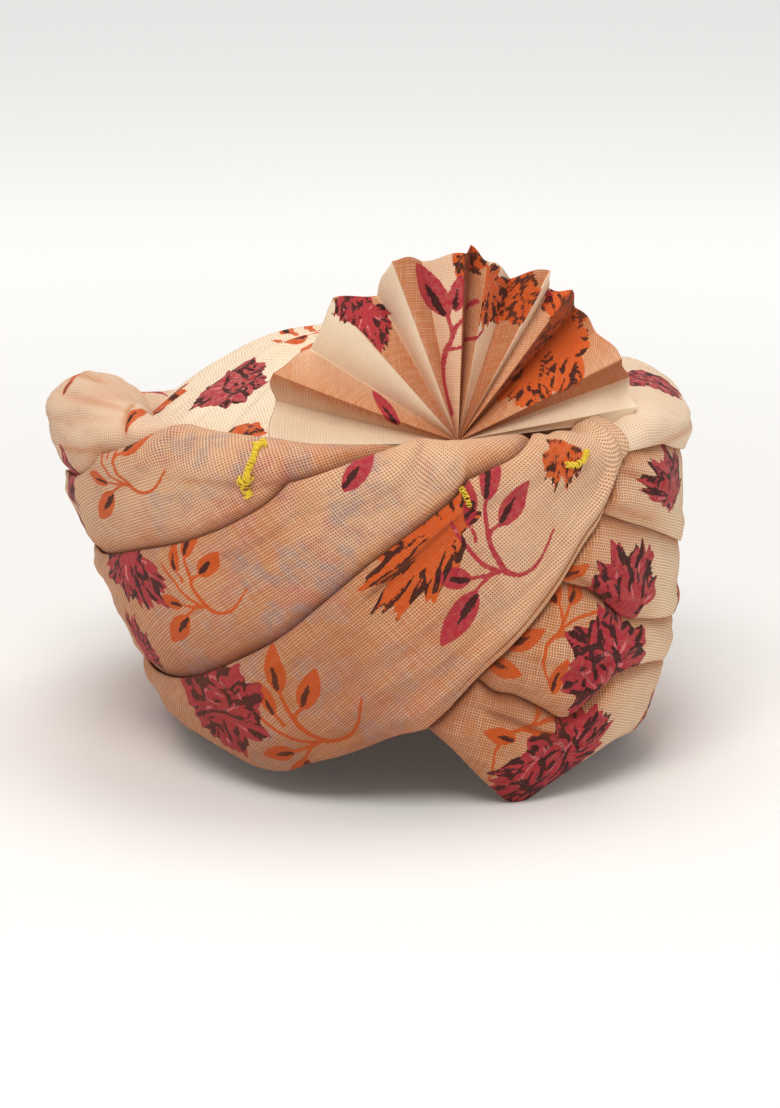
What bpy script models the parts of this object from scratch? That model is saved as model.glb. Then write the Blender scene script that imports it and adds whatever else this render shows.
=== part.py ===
"""Tied turban (pagri): a hollow wound ring of cloth dressed with lapped pleats, a closed crown and
a pleated fan. Metres, +Z up, front towards -Y, origin under the middle on the resting plane.

Every band of cloth lies on one flared oval body. A place on the body is given by a turn (degrees
round from the front, positive to +X) and a share: 0 to 1 climbs from the rim to the foot of the
top roll, 1 to 2 goes over the roll to its inner foot.
"""
import math
from dataclasses import dataclass

import bpy
import numpy as np

# Driving dimensions
BAND_HEIGHT = 0.138       # resting plane to the foot of the top roll
HALF_WIDTH = 0.1295       # body half width at the top
HALF_LENGTH = 0.134       # body half length at the top
ROLL_RISE = 0.016         # height of the fullest stretch of the top roll
ROLL_REACH = 0.019        # half depth of the fullest stretch of the top roll
WALL_RIM = 0.006          # wound wall at the rim
WALL_TOP = 0.010          # wound wall at the top
RIM_INSET = 0.003         # wound wall stops this far above the pleats' rim
CLOTH = 0.0012            # one tucked layer of cloth
PLEAT = 0.0026            # folded pleat of cloth
TUCK = 0.007              # length of a border tucked under its neighbour
SEAT_GAP = 0.0005         # clearance of the bands from the wound wall
CROWN_GAP = 0.0014        # clearance of the crown's caught edge over the wound wall
LAP_GAP = 0.0004          # clearance between lapped bands
PUFF = 0.006              # fullness of the puffiest band
CROWN_RISE = 0.038        # crown apex above the foot of the top roll
CROWN_WALL = 0.0025       # crown cloth with its gathers
CROWN_FOLD = 0.0022       # depth of the crown's gathers
FAN_RADIUS = 0.080        # reach of the longest fan pleat
FAN_DEPTH = 0.017         # depth of the fan pleats at the outer edge
FAN_CLOTH = 0.0018        # doubled cloth of the fan
FAN_HEIGHT = 0.0097       # fan centre above the foot of the top roll
FAN_ROOT = 0.005          # root of the fan below its centre
FAN_ROOT_HALF = 0.020     # half width of that root
FAN_BOW_LEFT = 0.016      # how far the fan's left flank falls back from its middle
FAN_BOW_RIGHT = 0.010     # how far its right flank does
FAN_LEAN = 12.0           # degrees back from upright

# Fixed character of the form
OVAL_POWER = 2.25         # 2 is an ellipse, more is squarer
REAR_DROP = 0.22          # share of height the top loses at the back
DROP_FROM = 88.0          # turn where the top starts to fall
DROP_TO = 150.0           # turn where it has fallen
WRAP_TOP = 0.93           # share where the wound wall stops
LIP_ROUND = 0.0025        # rounding of a folded edge
RIM_FLAT = 0.8            # width of the flat under a rim, as a share of the cloth there
SLOPE = 0.003             # length over which a raised underside comes down
OVER = 1.6                # a lip's raised stretch, as a share of the tuck
ROLL_LAPS = 1.6           # laps that a border climbs where it crosses the top roll
FAN_TURN = 7.5            # turn of the fan's centre

# Columns: height share, half width, half length, shift to +X, shift to +Y, as shares of the half sizes
BODY_ROWS = (
    (-0.05, 0.680, 0.80, -0.020, 0.000),
    (0.128, 0.765, 0.85, -0.020, 0.010),
    (0.307, 0.840, 0.89, -0.030, 0.025),
    (0.496, 0.900, 0.93, -0.055, 0.050),
    (0.674, 0.940, 0.96, -0.080, 0.080),
    (0.853, 0.975, 0.985, -0.110, 0.105),
    (1.000, 1.000, 1.000, -0.125, 0.125),
)
# Columns: turn, rise as a share of ROLL_RISE, reach as a share of ROLL_REACH
ROLL_ROWS = (
    (-180, 0.60, 0.50), (-120, 0.80, 0.65), (-95, 1.00, 0.90), (-80, 0.95, 0.85), (-68, 0.80, 0.65),
    (-55, 0.70, 0.50), (-45, 0.68, 0.45), (-20, 0.50, 0.36), (0, 0.48, 0.36), (18, 0.52, 0.38),
    (28, 0.45, 0.42), (36, 0.22, 0.48), (43, 0.55, 0.60), (52, 0.75, 0.72), (80, 0.82, 1.00),
    (120, 0.70, 0.80), (192, 0.60, 0.50),
)
# Columns of each border: turn, share
RIM_LEFT = (
    (-180, 0.0), (-135, 0.0), (-112, 0.015), (-94, 0.045), (-80, 0.085), (-69, 0.106), (-60, 0.100),
    (-50, 0.081), (-42, 0.089), (-34.5, 0.133), (-26.5, 0.172), (-20, 0.209), (-13.8, 0.247),
    (-8.2, 0.267),
)
PANEL_EDGE = (
    (-8.2, 0.267), (-4.2, 0.315), (3, 0.417), (11, 0.519), (19.5, 0.653), (26, 0.779), (30.2, 0.850),
    (33, 0.935), (35, 1.020), (37, 1.180), (39, 1.600), (41, 2.000),
)
PANEL_TOP = (
    (-180, 0.20), (-140, 0.21), (-105, 0.24), (-88, 0.262), (-76.8, 0.280), (-62.5, 0.322),
    (-53, 0.373), (-42.8, 0.446), (-33, 0.530), (-22.2, 0.657), (-15, 0.745), (-8.2, 0.821),
    (-0.8, 0.902), (4, 0.965), (8.5, 1.070), (16.2, 1.280), (20.5, 1.560), (24, 1.850), (27.5, 2.0),
    (31, 2.0), (41, 2.0),
)
MIDDLE_TOP = (
    (-180, 0.52), (-140, 0.54), (-105, 0.585), (-83, 0.622), (-59, 0.727), (-45.2, 0.798),
    (-34.2, 0.882), (-27.2, 0.958), (-20.5, 1.080), (-13.2, 1.280), (-7.3, 1.480), (-4, 1.700),
    (-0.5, 2.0), (6, 2.0), (27.5, 2.0),
)
UPPER_TOP = (
    (-180, 0.80), (-140, 0.80), (-105, 0.82), (-85, 0.853), (-72.5, 0.910), (-65, 0.975),
    (-58, 1.080), (-53, 1.220), (-48, 1.500), (-43, 2.0), (-33, 2.0), (0, 2.0),
)
RIM_RIGHT = (
    (-11, 0.305), (-8.2, 0.267), (-3, 0.194), (2.2, 0.116), (7.5, 0.050), (12, 0.004), (16.5, 0.0),
    (21.5, 0.034), (28, 0.074), (34.2, 0.102), (40.8, 0.122), (48, 0.115), (58, 0.090), (70, 0.060),
    (90, 0.030), (110, 0.008), (130, 0.0), (192, 0.0),
)
LOWER_CREASE = (
    (-8, 0.52), (3, 0.417), (6.2, 0.373), (10.2, 0.355), (16.2, 0.305), (22, 0.258), (28, 0.296),
    (34.2, 0.350), (42, 0.355), (60, 0.300), (85, 0.230), (135, 0.165), (192, 0.150),
)
MIDDLE_CREASE = (
    (12, 0.76), (17, 0.715), (22, 0.672), (27.5, 0.634), (31.5, 0.583), (35.5, 0.532), (41.8, 0.502),
    (60, 0.435), (85, 0.365), (135, 0.310), (192, 0.300),
)
UPPER_CREASE = (
    (24, 0.92), (31, 0.856), (37, 0.811), (44, 0.766), (49, 0.732), (65, 0.640), (85, 0.570),
    (135, 0.520), (192, 0.500),
)
TOP_CREASE = (
    (28, 1.20), (33, 1.150), (36, 1.100), (39, 1.060), (44, 1.030), (51, 0.985), (65, 0.920),
    (85, 0.870), (135, 0.820), (192, 0.800),
)
# Columns of the turns where sections are cut: first, last, step
STATION_RUNS = (
    (-180, -168, 6), (-156, -108, 12), (-98, -58, 8), (-53, -18, 5), (-14.5, 31, 3.5), (33, 39, 2),
    (43, 58, 5), (66, 98, 8), (108, 168, 12), (174, 186, 6),
)
# Columns: angle from upright, reach as a share of FAN_RADIUS, pleat depth as a share of FAN_DEPTH
FAN_ROWS = (
    (-90.8, 0.896, 0.75), (-79, 0.868, 0.10), (-69.3, 0.943, 1.00), (-57.8, 0.779, 0.15),
    (-39.6, 0.897, 1.00), (-25.9, 0.747, 0.10), (-17.9, 0.926, 0.95), (-6.7, 0.844, 0.10),
    (5.2, 0.892, 0.90), (9.4, 0.913, 0.20), (13.7, 0.879, 0.90), (25.8, 0.825, 0.10),
    (32.8, 0.963, 0.95), (37.5, 0.874, 0.40), (41.8, 0.943, 0.90), (50, 0.918, 0.00),
    (57.9, 0.929, 0.50), (67.1, 0.961, 1.00), (75.6, 0.990, 0.20), (81.5, 0.978, 0.70),
    (84.5, 0.918, 0.50),
)


def smooth_curve(table, turn, column=1):
    """Read one column of a table at a turn, through a smooth curve."""
    keys = np.array([row[0] for row in table], float)
    values = np.array([row[column] for row in table], float)
    slopes = np.gradient(values, keys)
    flat = np.append(values[1:] == values[:-1], False) | np.append(False, values[1:] == values[:-1])
    slopes[flat] = 0.0
    turn = np.clip(turn, keys[0], keys[-1])
    row = np.clip(np.searchsorted(keys, turn, side="right") - 1, 0, len(keys) - 2)
    span = keys[row + 1] - keys[row]
    t = (turn - keys[row]) / span
    return ((2 * t ** 3 - 3 * t ** 2 + 1) * values[row] + (t ** 3 - 2 * t ** 2 + t) * span * slopes[row]
            + (3 * t ** 2 - 2 * t ** 3) * values[row + 1] + (t ** 3 - t ** 2) * span * slopes[row + 1])


def smooth_step(low, high, value):
    """0 below low, 1 above high, eased between."""
    t = min(max((value - low) / (high - low), 0.0), 1.0)
    return t * t * (3 - 2 * t)


def wrap_turn(turn):
    """The same turn between -180 and 180."""
    return (turn + 180.0) % 360.0 - 180.0


def top_height(turn):
    """Height of the foot of the top roll."""
    return BAND_HEIGHT * (1 - REAR_DROP * smooth_step(DROP_FROM, DROP_TO, abs(wrap_turn(turn))))


def roll_size(turn):
    """Rise and half depth of the top roll."""
    keys = [row[0] for row in ROLL_ROWS]
    rise = np.interp(wrap_turn(turn), keys, [row[1] for row in ROLL_ROWS]) * ROLL_RISE
    reach = np.interp(wrap_turn(turn), keys, [row[2] for row in ROLL_ROWS]) * ROLL_REACH
    return rise, reach


def body_point(turn, share, off=0.0):
    """Point on the body, off being the distance out from its surface."""
    level = min(max(share, 0.0), 1.0)
    wide, long, shift_x, shift_y = (smooth_curve(BODY_ROWS, level, column) for column in (1, 2, 3, 4))
    rise, reach = roll_size(turn)
    over = math.pi * min(max(share - 1.0, 0.0), 1.0)
    outward = off * math.cos(over) - reach * (1 - math.cos(over))
    sine, cosine = math.sin(math.radians(turn)), math.cos(math.radians(turn))
    oval = (abs(sine) ** OVAL_POWER + abs(cosine) ** OVAL_POWER) ** (-1 / OVAL_POWER)
    return np.array((
        shift_x * HALF_WIDTH + (wide * HALF_WIDTH + outward) * oval * sine,
        shift_y * HALF_LENGTH - (long * HALF_LENGTH + outward) * oval * cosine,
        level * top_height(turn) + (rise + off) * math.sin(over),
    ))


def to_length(turn, share):
    """Distance up the body, over the roll, at a share."""
    half_round = math.pi * sum(roll_size(turn)) / 2
    return min(share, 1.0) * top_height(turn) + max(share - 1.0, 0.0) * half_round


def to_share(turn, length):
    """Share at a distance up the body, over the roll."""
    half_round = math.pi * sum(roll_size(turn)) / 2
    foot = top_height(turn)
    return min(length, foot) / foot + max(length - foot, 0.0) / half_round


def stations(first, last):
    """Turns between two turns where sections are cut."""
    turns = []
    for start, end, step in STATION_RUNS:
        turns += list(np.arange(start, end + step / 2, step))
    return [turn for turn in turns if first <= turn <= last]


def panel_bottom(turn):
    """Share of the front panel's lower border: the left rim, then the slanting front edge."""
    if turn <= RIM_LEFT[-1][0]:
        return smooth_curve(RIM_LEFT, turn)
    return smooth_curve(PANEL_EDGE, turn)


def panel_edge(turn):
    """Share of the front panel's slanting edge, or above everything past its end."""
    return panel_bottom(turn) if turn < PANEL_EDGE[-1][0] else 2.0


def right_border(table):
    """Border of a right band, stopped by the front panel's slanting edge."""
    return lambda turn: min(smooth_curve(table, turn), panel_edge(turn))


@dataclass
class Band:
    """One band of cloth. Laps count the layers that a border or the whole band climbs over."""
    name: str
    first: float
    last: float
    lower: object
    upper: object
    lower_lip: bool
    upper_lip: bool
    lower_laps: tuple = ((0, 0), (1, 0))
    upper_laps: tuple = ((0, 0), (1, 0))
    lift_laps: tuple = ((0, 0), (1, 0))
    fullness: tuple = ((0, 1), (1, 1))
    puff: tuple = ((0, 0.3), (1, 0.3))
    middles: int = 3
    rolled: bool = True
    rimmed: bool = False
    colour: tuple = (0.80, 0.62, 0.42)


LEFT_TAIL = ((-180, 2), (-174, 2), (-168, 0), (31, 0))
RIGHT_TAIL = ((0, 1), (174, 1), (180, 0), (186, 0))

BANDS = (
    Band("wing_roll", -180, -48, lambda turn: smooth_curve(UPPER_TOP, turn), lambda turn: 2.0,
         False, True, lift_laps=LEFT_TAIL, puff=((-180, 0.3), (-100, 0.5), (-70, 0.4), (-53, 0.2)),
         middles=5, colour=(0.86, 0.72, 0.52)),
    Band("left_pleat_upper", -180, -4, lambda turn: smooth_curve(MIDDLE_TOP, turn),
         lambda turn: smooth_curve(UPPER_TOP, turn), False, True,
         upper_laps=((-66, 1), (-58, ROLL_LAPS), (-48, ROLL_LAPS), (-43, 0)),
         lift_laps=LEFT_TAIL, middles=4),
    Band("left_pleat_middle", -180, 20.5, lambda turn: smooth_curve(PANEL_TOP, turn),
         lambda turn: smooth_curve(MIDDLE_TOP, turn), False, True,
         upper_laps=((-30, 1), (-20, ROLL_LAPS), (-4, ROLL_LAPS), (3, 0)),
         lift_laps=LEFT_TAIL, middles=4, colour=(0.72, 0.50, 0.32)),
    Band("front_panel", -180, 39, panel_bottom, lambda turn: smooth_curve(PANEL_TOP, turn),
         True, True, lower_laps=((-18, 0), (-11, 2), (31, 2), (33, 0)),
         upper_laps=((0, 1), (8, ROLL_LAPS), (20.5, ROLL_LAPS), (24, 0)),
         lift_laps=LEFT_TAIL + ((33, 2.2), (35, 2.8), (37, 3.8), (41, 3.8)),
         middles=5, rimmed=True, colour=(0.78, 0.55, 0.36)),
    Band("right_top_fold", 35, 186, right_border(TOP_CREASE), lambda turn: 2.0, True, True,
         lower_laps=((35, 1), (39, 1), (43, 1.5), (58, 1.5), (74, 1)),
         fullness=((35, 0), (39, 0), (43, 1)) + RIGHT_TAIL[1:],
         puff=((35, 0), (39, 0), (48, 0.3), (90, 0.4), (168, 0.2)), middles=5,
         colour=(0.86, 0.72, 0.52)),
    Band("right_roll", 27.5, 186, right_border(UPPER_CREASE), right_border(TOP_CREASE), True, False,
         lower_laps=((27.5, 1), (28, 1)), fullness=RIGHT_TAIL,
         puff=((27.5, 0), (35, 0.4), (48, 0.8), (90, 0.6), (168, 0.2)), colour=(0.76, 0.56, 0.40)),
    Band("right_pleat_upper", 17, 186, right_border(MIDDLE_CREASE), right_border(UPPER_CREASE),
         True, False, lower_laps=((17, 1), (18, 1)), fullness=RIGHT_TAIL,
         puff=((17, 0), (28, 0.3), (48, 0.2), (168, 0.1)), rolled=False, colour=(0.72, 0.50, 0.32)),
    Band("right_pleat_middle", -0.5, 186, right_border(LOWER_CREASE), right_border(MIDDLE_CREASE),
         True, False, lower_laps=((-1, 1), (0, 1)), fullness=RIGHT_TAIL,
         puff=((-1, 0), (10, 0.3), (30, 0.4), (48, 0.2), (168, 0.1)), rolled=False,
         colour=(0.70, 0.46, 0.30)),
    Band("right_pleat_lower", -11, 186, right_border(RIM_RIGHT), right_border(LOWER_CREASE),
         True, False, fullness=RIGHT_TAIL, rolled=False, rimmed=True,
         puff=((-11, 0), (3, 0.3), (30, 0.4), (48, 0.2), (168, 0.1)),
         colour=(0.74, 0.50, 0.34)),
)


def table_value(table, turn):
    """Straight reading of a two column table."""
    return float(np.interp(turn, [row[0] for row in table], [row[1] for row in table]))


def lip_profile(distance, edge=0.35):
    """Share of full thickness at a distance in from a folded edge."""
    return float(np.interp(distance / LIP_ROUND, (0.0, 0.35, 1.0), (edge, max(edge, 0.82), 1.0)))


def band_section(band, turn):
    """Closed section of a band: its outer side from lower to upper border, then its underside."""
    low, high = to_length(turn, band.lower(turn)), to_length(turn, band.upper(turn))
    start = low if band.lower_lip else low - TUCK
    end = high if band.upper_lip else high + TUCK
    lap = CLOTH + LAP_GAP
    lift = table_value(band.lift_laps, turn)
    laps_low, laps_high = table_value(band.lower_laps, turn), table_value(band.upper_laps, turn)
    full = table_value(band.fullness, turn)
    thick = CLOTH + (PLEAT - CLOTH) * full
    puff = PUFF * table_value(band.puff, turn) * full
    raised = OVER * TUCK
    rim = band.rimmed and laps_low == 0
    edges = (RIM_FLAT if rim else 0.35, 0.35)

    def under(place):
        ramp_low = np.interp(place - start, (raised, raised + SLOPE), (1, 0)) * laps_low
        ramp_high = np.interp(end - place, (raised, raised + SLOPE), (1, 0)) * laps_high
        return SEAT_GAP + lap * (lift + max(ramp_low, ramp_high))

    def outer(place):
        bump = puff * math.sin(math.pi * min(max((place - low) / (high - low + 1e-9), 0.0), 1.0))
        walls = []
        sides = ((band.lower_lip, place - low, edges[0]), (band.upper_lip, high - place, edges[1]))
        for lip, distance, edge in sides:
            eased = min(max(distance / SLOPE, 0.0), 1.0)
            walls.append(thick * lip_profile(distance, edge) if lip
                         else CLOTH + (thick - CLOTH) * eased)
        return under(place) + min(walls) + bump

    seen = high - low
    edge = min(SLOPE, 0.3 * seen)
    round_off = min(LIP_ROUND, 0.3 * seen)
    first = [start, start + 0.35 * round_off, start + round_off] if band.lower_lip else [
        start, low, low + edge]
    last = [end - round_off, end - 0.35 * round_off, end] if band.upper_lip else [
        high - edge, high, end]
    if band.rolled and not band.lower_lip:
        first.insert(1, low - TUCK / 2)
    if band.rolled and not band.upper_lip:
        last.insert(2, high + TUCK / 2)
    share_first, share_last = to_share(turn, first[-1]), to_share(turn, last[0])
    steps = [(index + 1) / (band.middles + 1) for index in range(band.middles)]
    middle = [to_length(turn, share_first + (share_last - share_first) * step) for step in steps]
    points = [(place, outer(place)) for place in (*first, *middle, *last)]
    zone = min(raised, 0.35 * (end - start))
    slope = min(SLOPE, 0.1 * (end - start))
    back = [end - 0.1 * zone, end - zone, end - zone - slope] if band.upper_lip else [end]
    heel = 0.0 if rim else 0.1 * zone
    front = [start + zone + slope, start + zone, start + heel] if band.lower_lip else [start]
    if band.rolled and band.upper_lip:
        back.insert(1, end - zone / 2)
    if band.rolled and band.lower_lip:
        front.insert(2, start + zone / 2)
    share_back, share_front = to_share(turn, back[-1]), to_share(turn, front[0])
    inner_steps = [(index + 1) / band.middles for index in range(band.middles - 1)]
    back += [to_length(turn, share_back + (share_front - share_back) * step) for step in inner_steps]
    points += [(place, under(place)) for place in (*back, *front)]
    return np.array([body_point(turn, to_share(turn, place), off) for place, off in points])


def new_object(name, points, faces, colour):
    """Object from points and faces, with its own cloth material."""
    mesh = bpy.data.meshes.new(name)
    mesh.from_pydata([tuple(point) for point in points], [], faces)
    mesh.validate()
    mesh.shade_smooth()
    mesh.set_sharp_from_angle(angle=math.radians(50))
    thing = bpy.data.objects.new(name, mesh)
    bpy.context.scene.collection.objects.link(thing)
    material = bpy.data.materials.new(name + "_cloth")
    material.use_nodes = True
    shader = material.node_tree.nodes["Principled BSDF"]
    shader.inputs["Base Color"].default_value = (*colour, 1.0)
    shader.inputs["Roughness"].default_value = 0.85
    shader.inputs["Metallic"].default_value = 0.0
    mesh.materials.append(material)
    return thing


def loft(name, rings, closed, colour):
    """Solid skinned through rings of equal length, the ends capped unless the loft is closed."""
    count = len(rings[0])
    points = [point for ring in rings for point in ring]
    faces = []
    spans = len(rings) if closed else len(rings) - 1
    for row in range(spans):
        here, there = row * count, (row + 1) % len(rings) * count
        for column in range(count):
            after = (column + 1) % count
            faces.append((here + column, there + column, there + after, here + after))
    if not closed:
        faces.append(tuple(range(count)))
        faces.append(tuple(reversed(range((len(rings) - 1) * count, len(rings) * count))))
    return new_object(name, points, faces, colour)


def build_bands():
    """Every lapped band of cloth."""
    for band in BANDS:
        rings = [band_section(band, turn) for turn in stations(band.first, band.last)]
        loft(band.name, rings, False, band.colour)


def wrap_rim(turn):
    """Share where the wound wall starts."""
    rim = panel_bottom(turn) if turn < RIM_LEFT[-1][0] else smooth_curve(RIM_RIGHT, turn)
    return rim + RIM_INSET / BAND_HEIGHT


def build_wrap():
    """The hollow wound ring under the pleats."""
    rings = []
    for turn in stations(-180, 174):
        bottom = wrap_rim(turn)
        outer = [bottom + (WRAP_TOP - bottom) * step / 7 for step in range(8)]
        inner = [WRAP_TOP - (WRAP_TOP - bottom) * step / 2 for step in range(3)]
        ring = [body_point(turn, share) for share in outer]
        for share in inner:
            wall = WALL_RIM + (WALL_TOP - WALL_RIM) * (share - bottom) / (WRAP_TOP - bottom)
            ring.append(body_point(turn, share, -wall))
        rings.append(ring)
    loft("inner_wrap", rings, True, (0.70, 0.52, 0.36))


def crown_height(way, turn):
    """Share of the crown's rise at a share of the way in, with its gathers."""
    gather = math.sin(math.radians(9 * turn) + 2.2 * way) * math.sin(math.pi * way)
    return 1 - (1 - way) ** 2.0, CROWN_FOLD * gather


def crown_ring(turn, drop):
    """Points of the crown cloth from its caught edge to near the apex, drop below the outer face."""
    foot, reach = top_height(turn), roll_size(turn)[1]
    edge = body_point(turn, WRAP_TOP, -WALL_TOP * 0.3)
    edge[2] += CROWN_GAP + (CROWN_WALL - drop)
    shelf = body_point(turn, 1.0, -2 * reach - PLEAT - 2 * (CLOTH + LAP_GAP) - SEAT_GAP)
    shelf[2] = foot - CROWN_WALL * 0.6 - drop
    apex = crown_apex(drop)
    points = [edge, shelf]
    for way in (0.07, 0.18, 0.34, 0.54, 0.77):
        share, gather = crown_height(way, turn)
        point = shelf + (apex - shelf) * way
        point[2] = shelf[2] + (apex[2] - shelf[2]) * share + gather
        points.append(point)
    return points


def crown_apex(drop):
    """Middle of the crown cloth."""
    shift = [smooth_curve(BODY_ROWS, 1.0, column) for column in (3, 4)]
    return np.array((shift[0] * HALF_WIDTH, shift[1] * HALF_LENGTH, BAND_HEIGHT + CROWN_RISE - drop))


def build_crown():
    """Domed cloth that closes the top."""
    turns = [360.0 * step / 36 - 180 for step in range(36)]
    points, faces = [], []
    rows = len(crown_ring(0, 0))
    for drop in (0.0, CROWN_WALL):
        for turn in turns:
            points += crown_ring(turn, drop)
    points += [crown_apex(0.0), crown_apex(CROWN_WALL)]
    count = len(turns)
    under = count * rows
    top, below = 2 * under, 2 * under + 1
    for column in range(count):
        here, there = column * rows, (column + 1) % count * rows
        for row in range(rows - 1):
            faces.append((here + row, there + row, there + row + 1, here + row + 1))
            faces.append((under + here + row, under + here + row + 1, under + there + row + 1,
                          under + there + row))
        faces.append((here + rows - 1, there + rows - 1, top))
        faces.append((under + there + rows - 1, under + here + rows - 1, below))
        faces.append((here, under + here, under + there, there))
    new_object("crown_cloth", points, faces, (0.88, 0.74, 0.56))


def fan_seat():
    """Middle of the fan's front face at its foot: just behind the top roll's inner foot."""
    return body_point(FAN_TURN, 2.0, SEAT_GAP + ROLL_LAPS * (CLOTH + LAP_GAP) + PLEAT + LAP_GAP)


def build_fan():
    """Pleated fan that stands behind the top roll and leans back."""
    centre = fan_seat()
    foot = BAND_HEIGHT + FAN_HEIGHT
    lean = math.tan(math.radians(FAN_LEAN))
    fronts, backs = [], []
    for angle, reach, depth in FAN_ROWS:
        sine, cosine = math.sin(math.radians(angle)), math.cos(math.radians(angle))
        for radius in (-1.0, 0.08, 0.36, 0.68, 1.0):
            if radius < 0:
                side, rise, fold = FAN_ROOT_HALF * angle / 90, -FAN_ROOT, 0.0
            else:
                side = FAN_RADIUS * reach * radius * sine
                rise = FAN_RADIUS * reach * radius * cosine
                fold = FAN_DEPTH * (depth * radius ** 0.8)
            x = centre[0] + side
            deep = FAN_DEPTH * radius if radius > 0 else 0.0
            bow = (FAN_BOW_LEFT if side < 0 else FAN_BOW_RIGHT) * (side / FAN_RADIUS) ** 2
            y = centre[1] + bow + lean * (rise + FAN_ROOT) + deep - fold
            fronts.append((x, y, foot + rise))
            backs.append((x, y + FAN_CLOTH, foot + rise))
    rows, count = 5, len(FAN_ROWS)
    faces, under = [], len(fronts)
    for column in range(count - 1):
        here, there = column * rows, (column + 1) * rows
        for row in range(rows - 1):
            faces.append((here + row, there + row, there + row + 1, here + row + 1))
            faces.append((under + here + row, under + here + row + 1, under + there + row + 1,
                          under + there + row))
        faces.append((here, under + here, under + there, there))
        faces.append((here + rows - 1, there + rows - 1, under + there + rows - 1,
                      under + here + rows - 1))
    for column, flip in ((0, False), (count - 1, True)):
        for row in range(rows - 1):
            low = column * rows + row
            face = (low, low + 1, under + low + 1, under + low)
            faces.append(tuple(reversed(face)) if flip else face)
    new_object("turra_fan", fronts + backs, faces, (0.82, 0.60, 0.38))


def centre_on_origin():
    """Move every piece so that the middle of the whole lies over the origin."""
    pieces = list(bpy.context.scene.collection.objects)
    corners = np.array([vertex.co[:] for piece in pieces for vertex in piece.data.vertices])
    low, high = corners.min(axis=0), corners.max(axis=0)
    shift = (-(low[0] + high[0]) / 2, -(low[1] + high[1]) / 2, -low[2])
    for piece in pieces:
        for vertex in piece.data.vertices:
            vertex.co = [value + move for value, move in zip(vertex.co, shift)]


def main():
    for thing in list(bpy.data.objects):
        bpy.data.objects.remove(thing, do_unlink=True)
    build_wrap()
    build_bands()
    build_crown()
    build_fan()
    centre_on_origin()


main()
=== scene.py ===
"""Looks of a tied turban pagri: fine lapped cloth, its floral print, gauze weave and tacking threads.

Every band lies on one flared oval body. A place on it is a turn (degrees round from the front,
positive to +X) and a share: 0 to 1 climbs from the rim to the foot of the top roll, 1 to 2 goes over
the roll to its inner foot. Lengths are metres, and print shapes are in millimetres. TURN_RUN is the
cloth's run along one degree of turn.
"""
import logging
import math
import random
from dataclasses import dataclass
from enum import Enum
from typing import Callable, Optional, Sequence

import bpy
import numpy as np
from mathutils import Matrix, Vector


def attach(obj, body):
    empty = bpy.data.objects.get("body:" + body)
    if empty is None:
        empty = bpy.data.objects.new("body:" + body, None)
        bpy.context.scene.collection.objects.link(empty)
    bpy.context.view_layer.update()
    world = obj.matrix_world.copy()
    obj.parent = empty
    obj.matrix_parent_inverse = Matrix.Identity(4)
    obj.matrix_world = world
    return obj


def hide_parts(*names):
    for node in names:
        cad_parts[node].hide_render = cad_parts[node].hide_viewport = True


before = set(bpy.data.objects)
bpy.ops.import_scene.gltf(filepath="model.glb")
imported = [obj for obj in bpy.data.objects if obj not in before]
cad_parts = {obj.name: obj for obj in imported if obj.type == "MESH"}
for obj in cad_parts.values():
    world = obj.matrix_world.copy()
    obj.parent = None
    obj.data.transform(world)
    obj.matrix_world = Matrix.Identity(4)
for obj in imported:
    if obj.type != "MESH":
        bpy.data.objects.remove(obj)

LOG = logging.getLogger("pagri")
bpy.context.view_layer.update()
CENTRE_SHIFT = np.array((0.01631, -0.01745, 0.0))
MM = 1000.0
TURN_RUN = 0.0023
Table = Sequence[Sequence[float]]


class Ink(Enum):
    """Printing inks, in the order of the channels that hold their distance fields."""

    CRIMSON = 0
    ORANGE = 1
    BLACK = 2
    LIGHT = 3


class Flower(Enum):
    """Shapes in which the printed rose shows."""

    FULL = "full"
    RISING = "rising"
    FALLING = "falling"


# --------------------------------------------------------------------------- curves

def smooth_curve(table: Table, where: np.ndarray, column: int = 1) -> np.ndarray:
    """Read a column of a table through a smooth curve.

    Args:
        table: rows whose first column is the key.
        where: keys to read at.
        column: column to read.

    Returns:
        Values of the shape of where.
    """
    keys = np.array([row[0] for row in table], float)
    values = np.array([row[column] for row in table], float)
    slopes = np.gradient(values, keys)
    flat = np.append(values[1:] == values[:-1], False) | np.append(False, values[1:] == values[:-1])
    slopes[flat] = 0.0
    where = np.clip(where, keys[0], keys[-1])
    row = np.clip(np.searchsorted(keys, where, side="right") - 1, 0, len(keys) - 2)
    span = keys[row + 1] - keys[row]
    t = (where - keys[row]) / span
    return ((2 * t ** 3 - 3 * t ** 2 + 1) * values[row] + (t ** 3 - 2 * t ** 2 + t) * span * slopes[row]
            + (3 * t ** 2 - 2 * t ** 3) * values[row + 1] + (t ** 3 - t ** 2) * span * slopes[row + 1])


def straight_curve(table: Table, where: np.ndarray) -> np.ndarray:
    """Read the second column of a table along straight lines.

    Args:
        table: two column rows.
        where: keys to read at.

    Returns:
        Values of the shape of where.
    """
    return np.interp(where, [row[0] for row in table], [row[1] for row in table])


def ease(low: float, high: float, value: np.ndarray) -> np.ndarray:
    """Ease from 0 at low to 1 at high.

    Args:
        low: value that gives 0.
        high: value that gives 1.
        value: values to ease.

    Returns:
        Eased values.
    """
    t = np.clip((value - low) / (high - low), 0.0, 1.0)
    return t * t * (3 - 2 * t)


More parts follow.
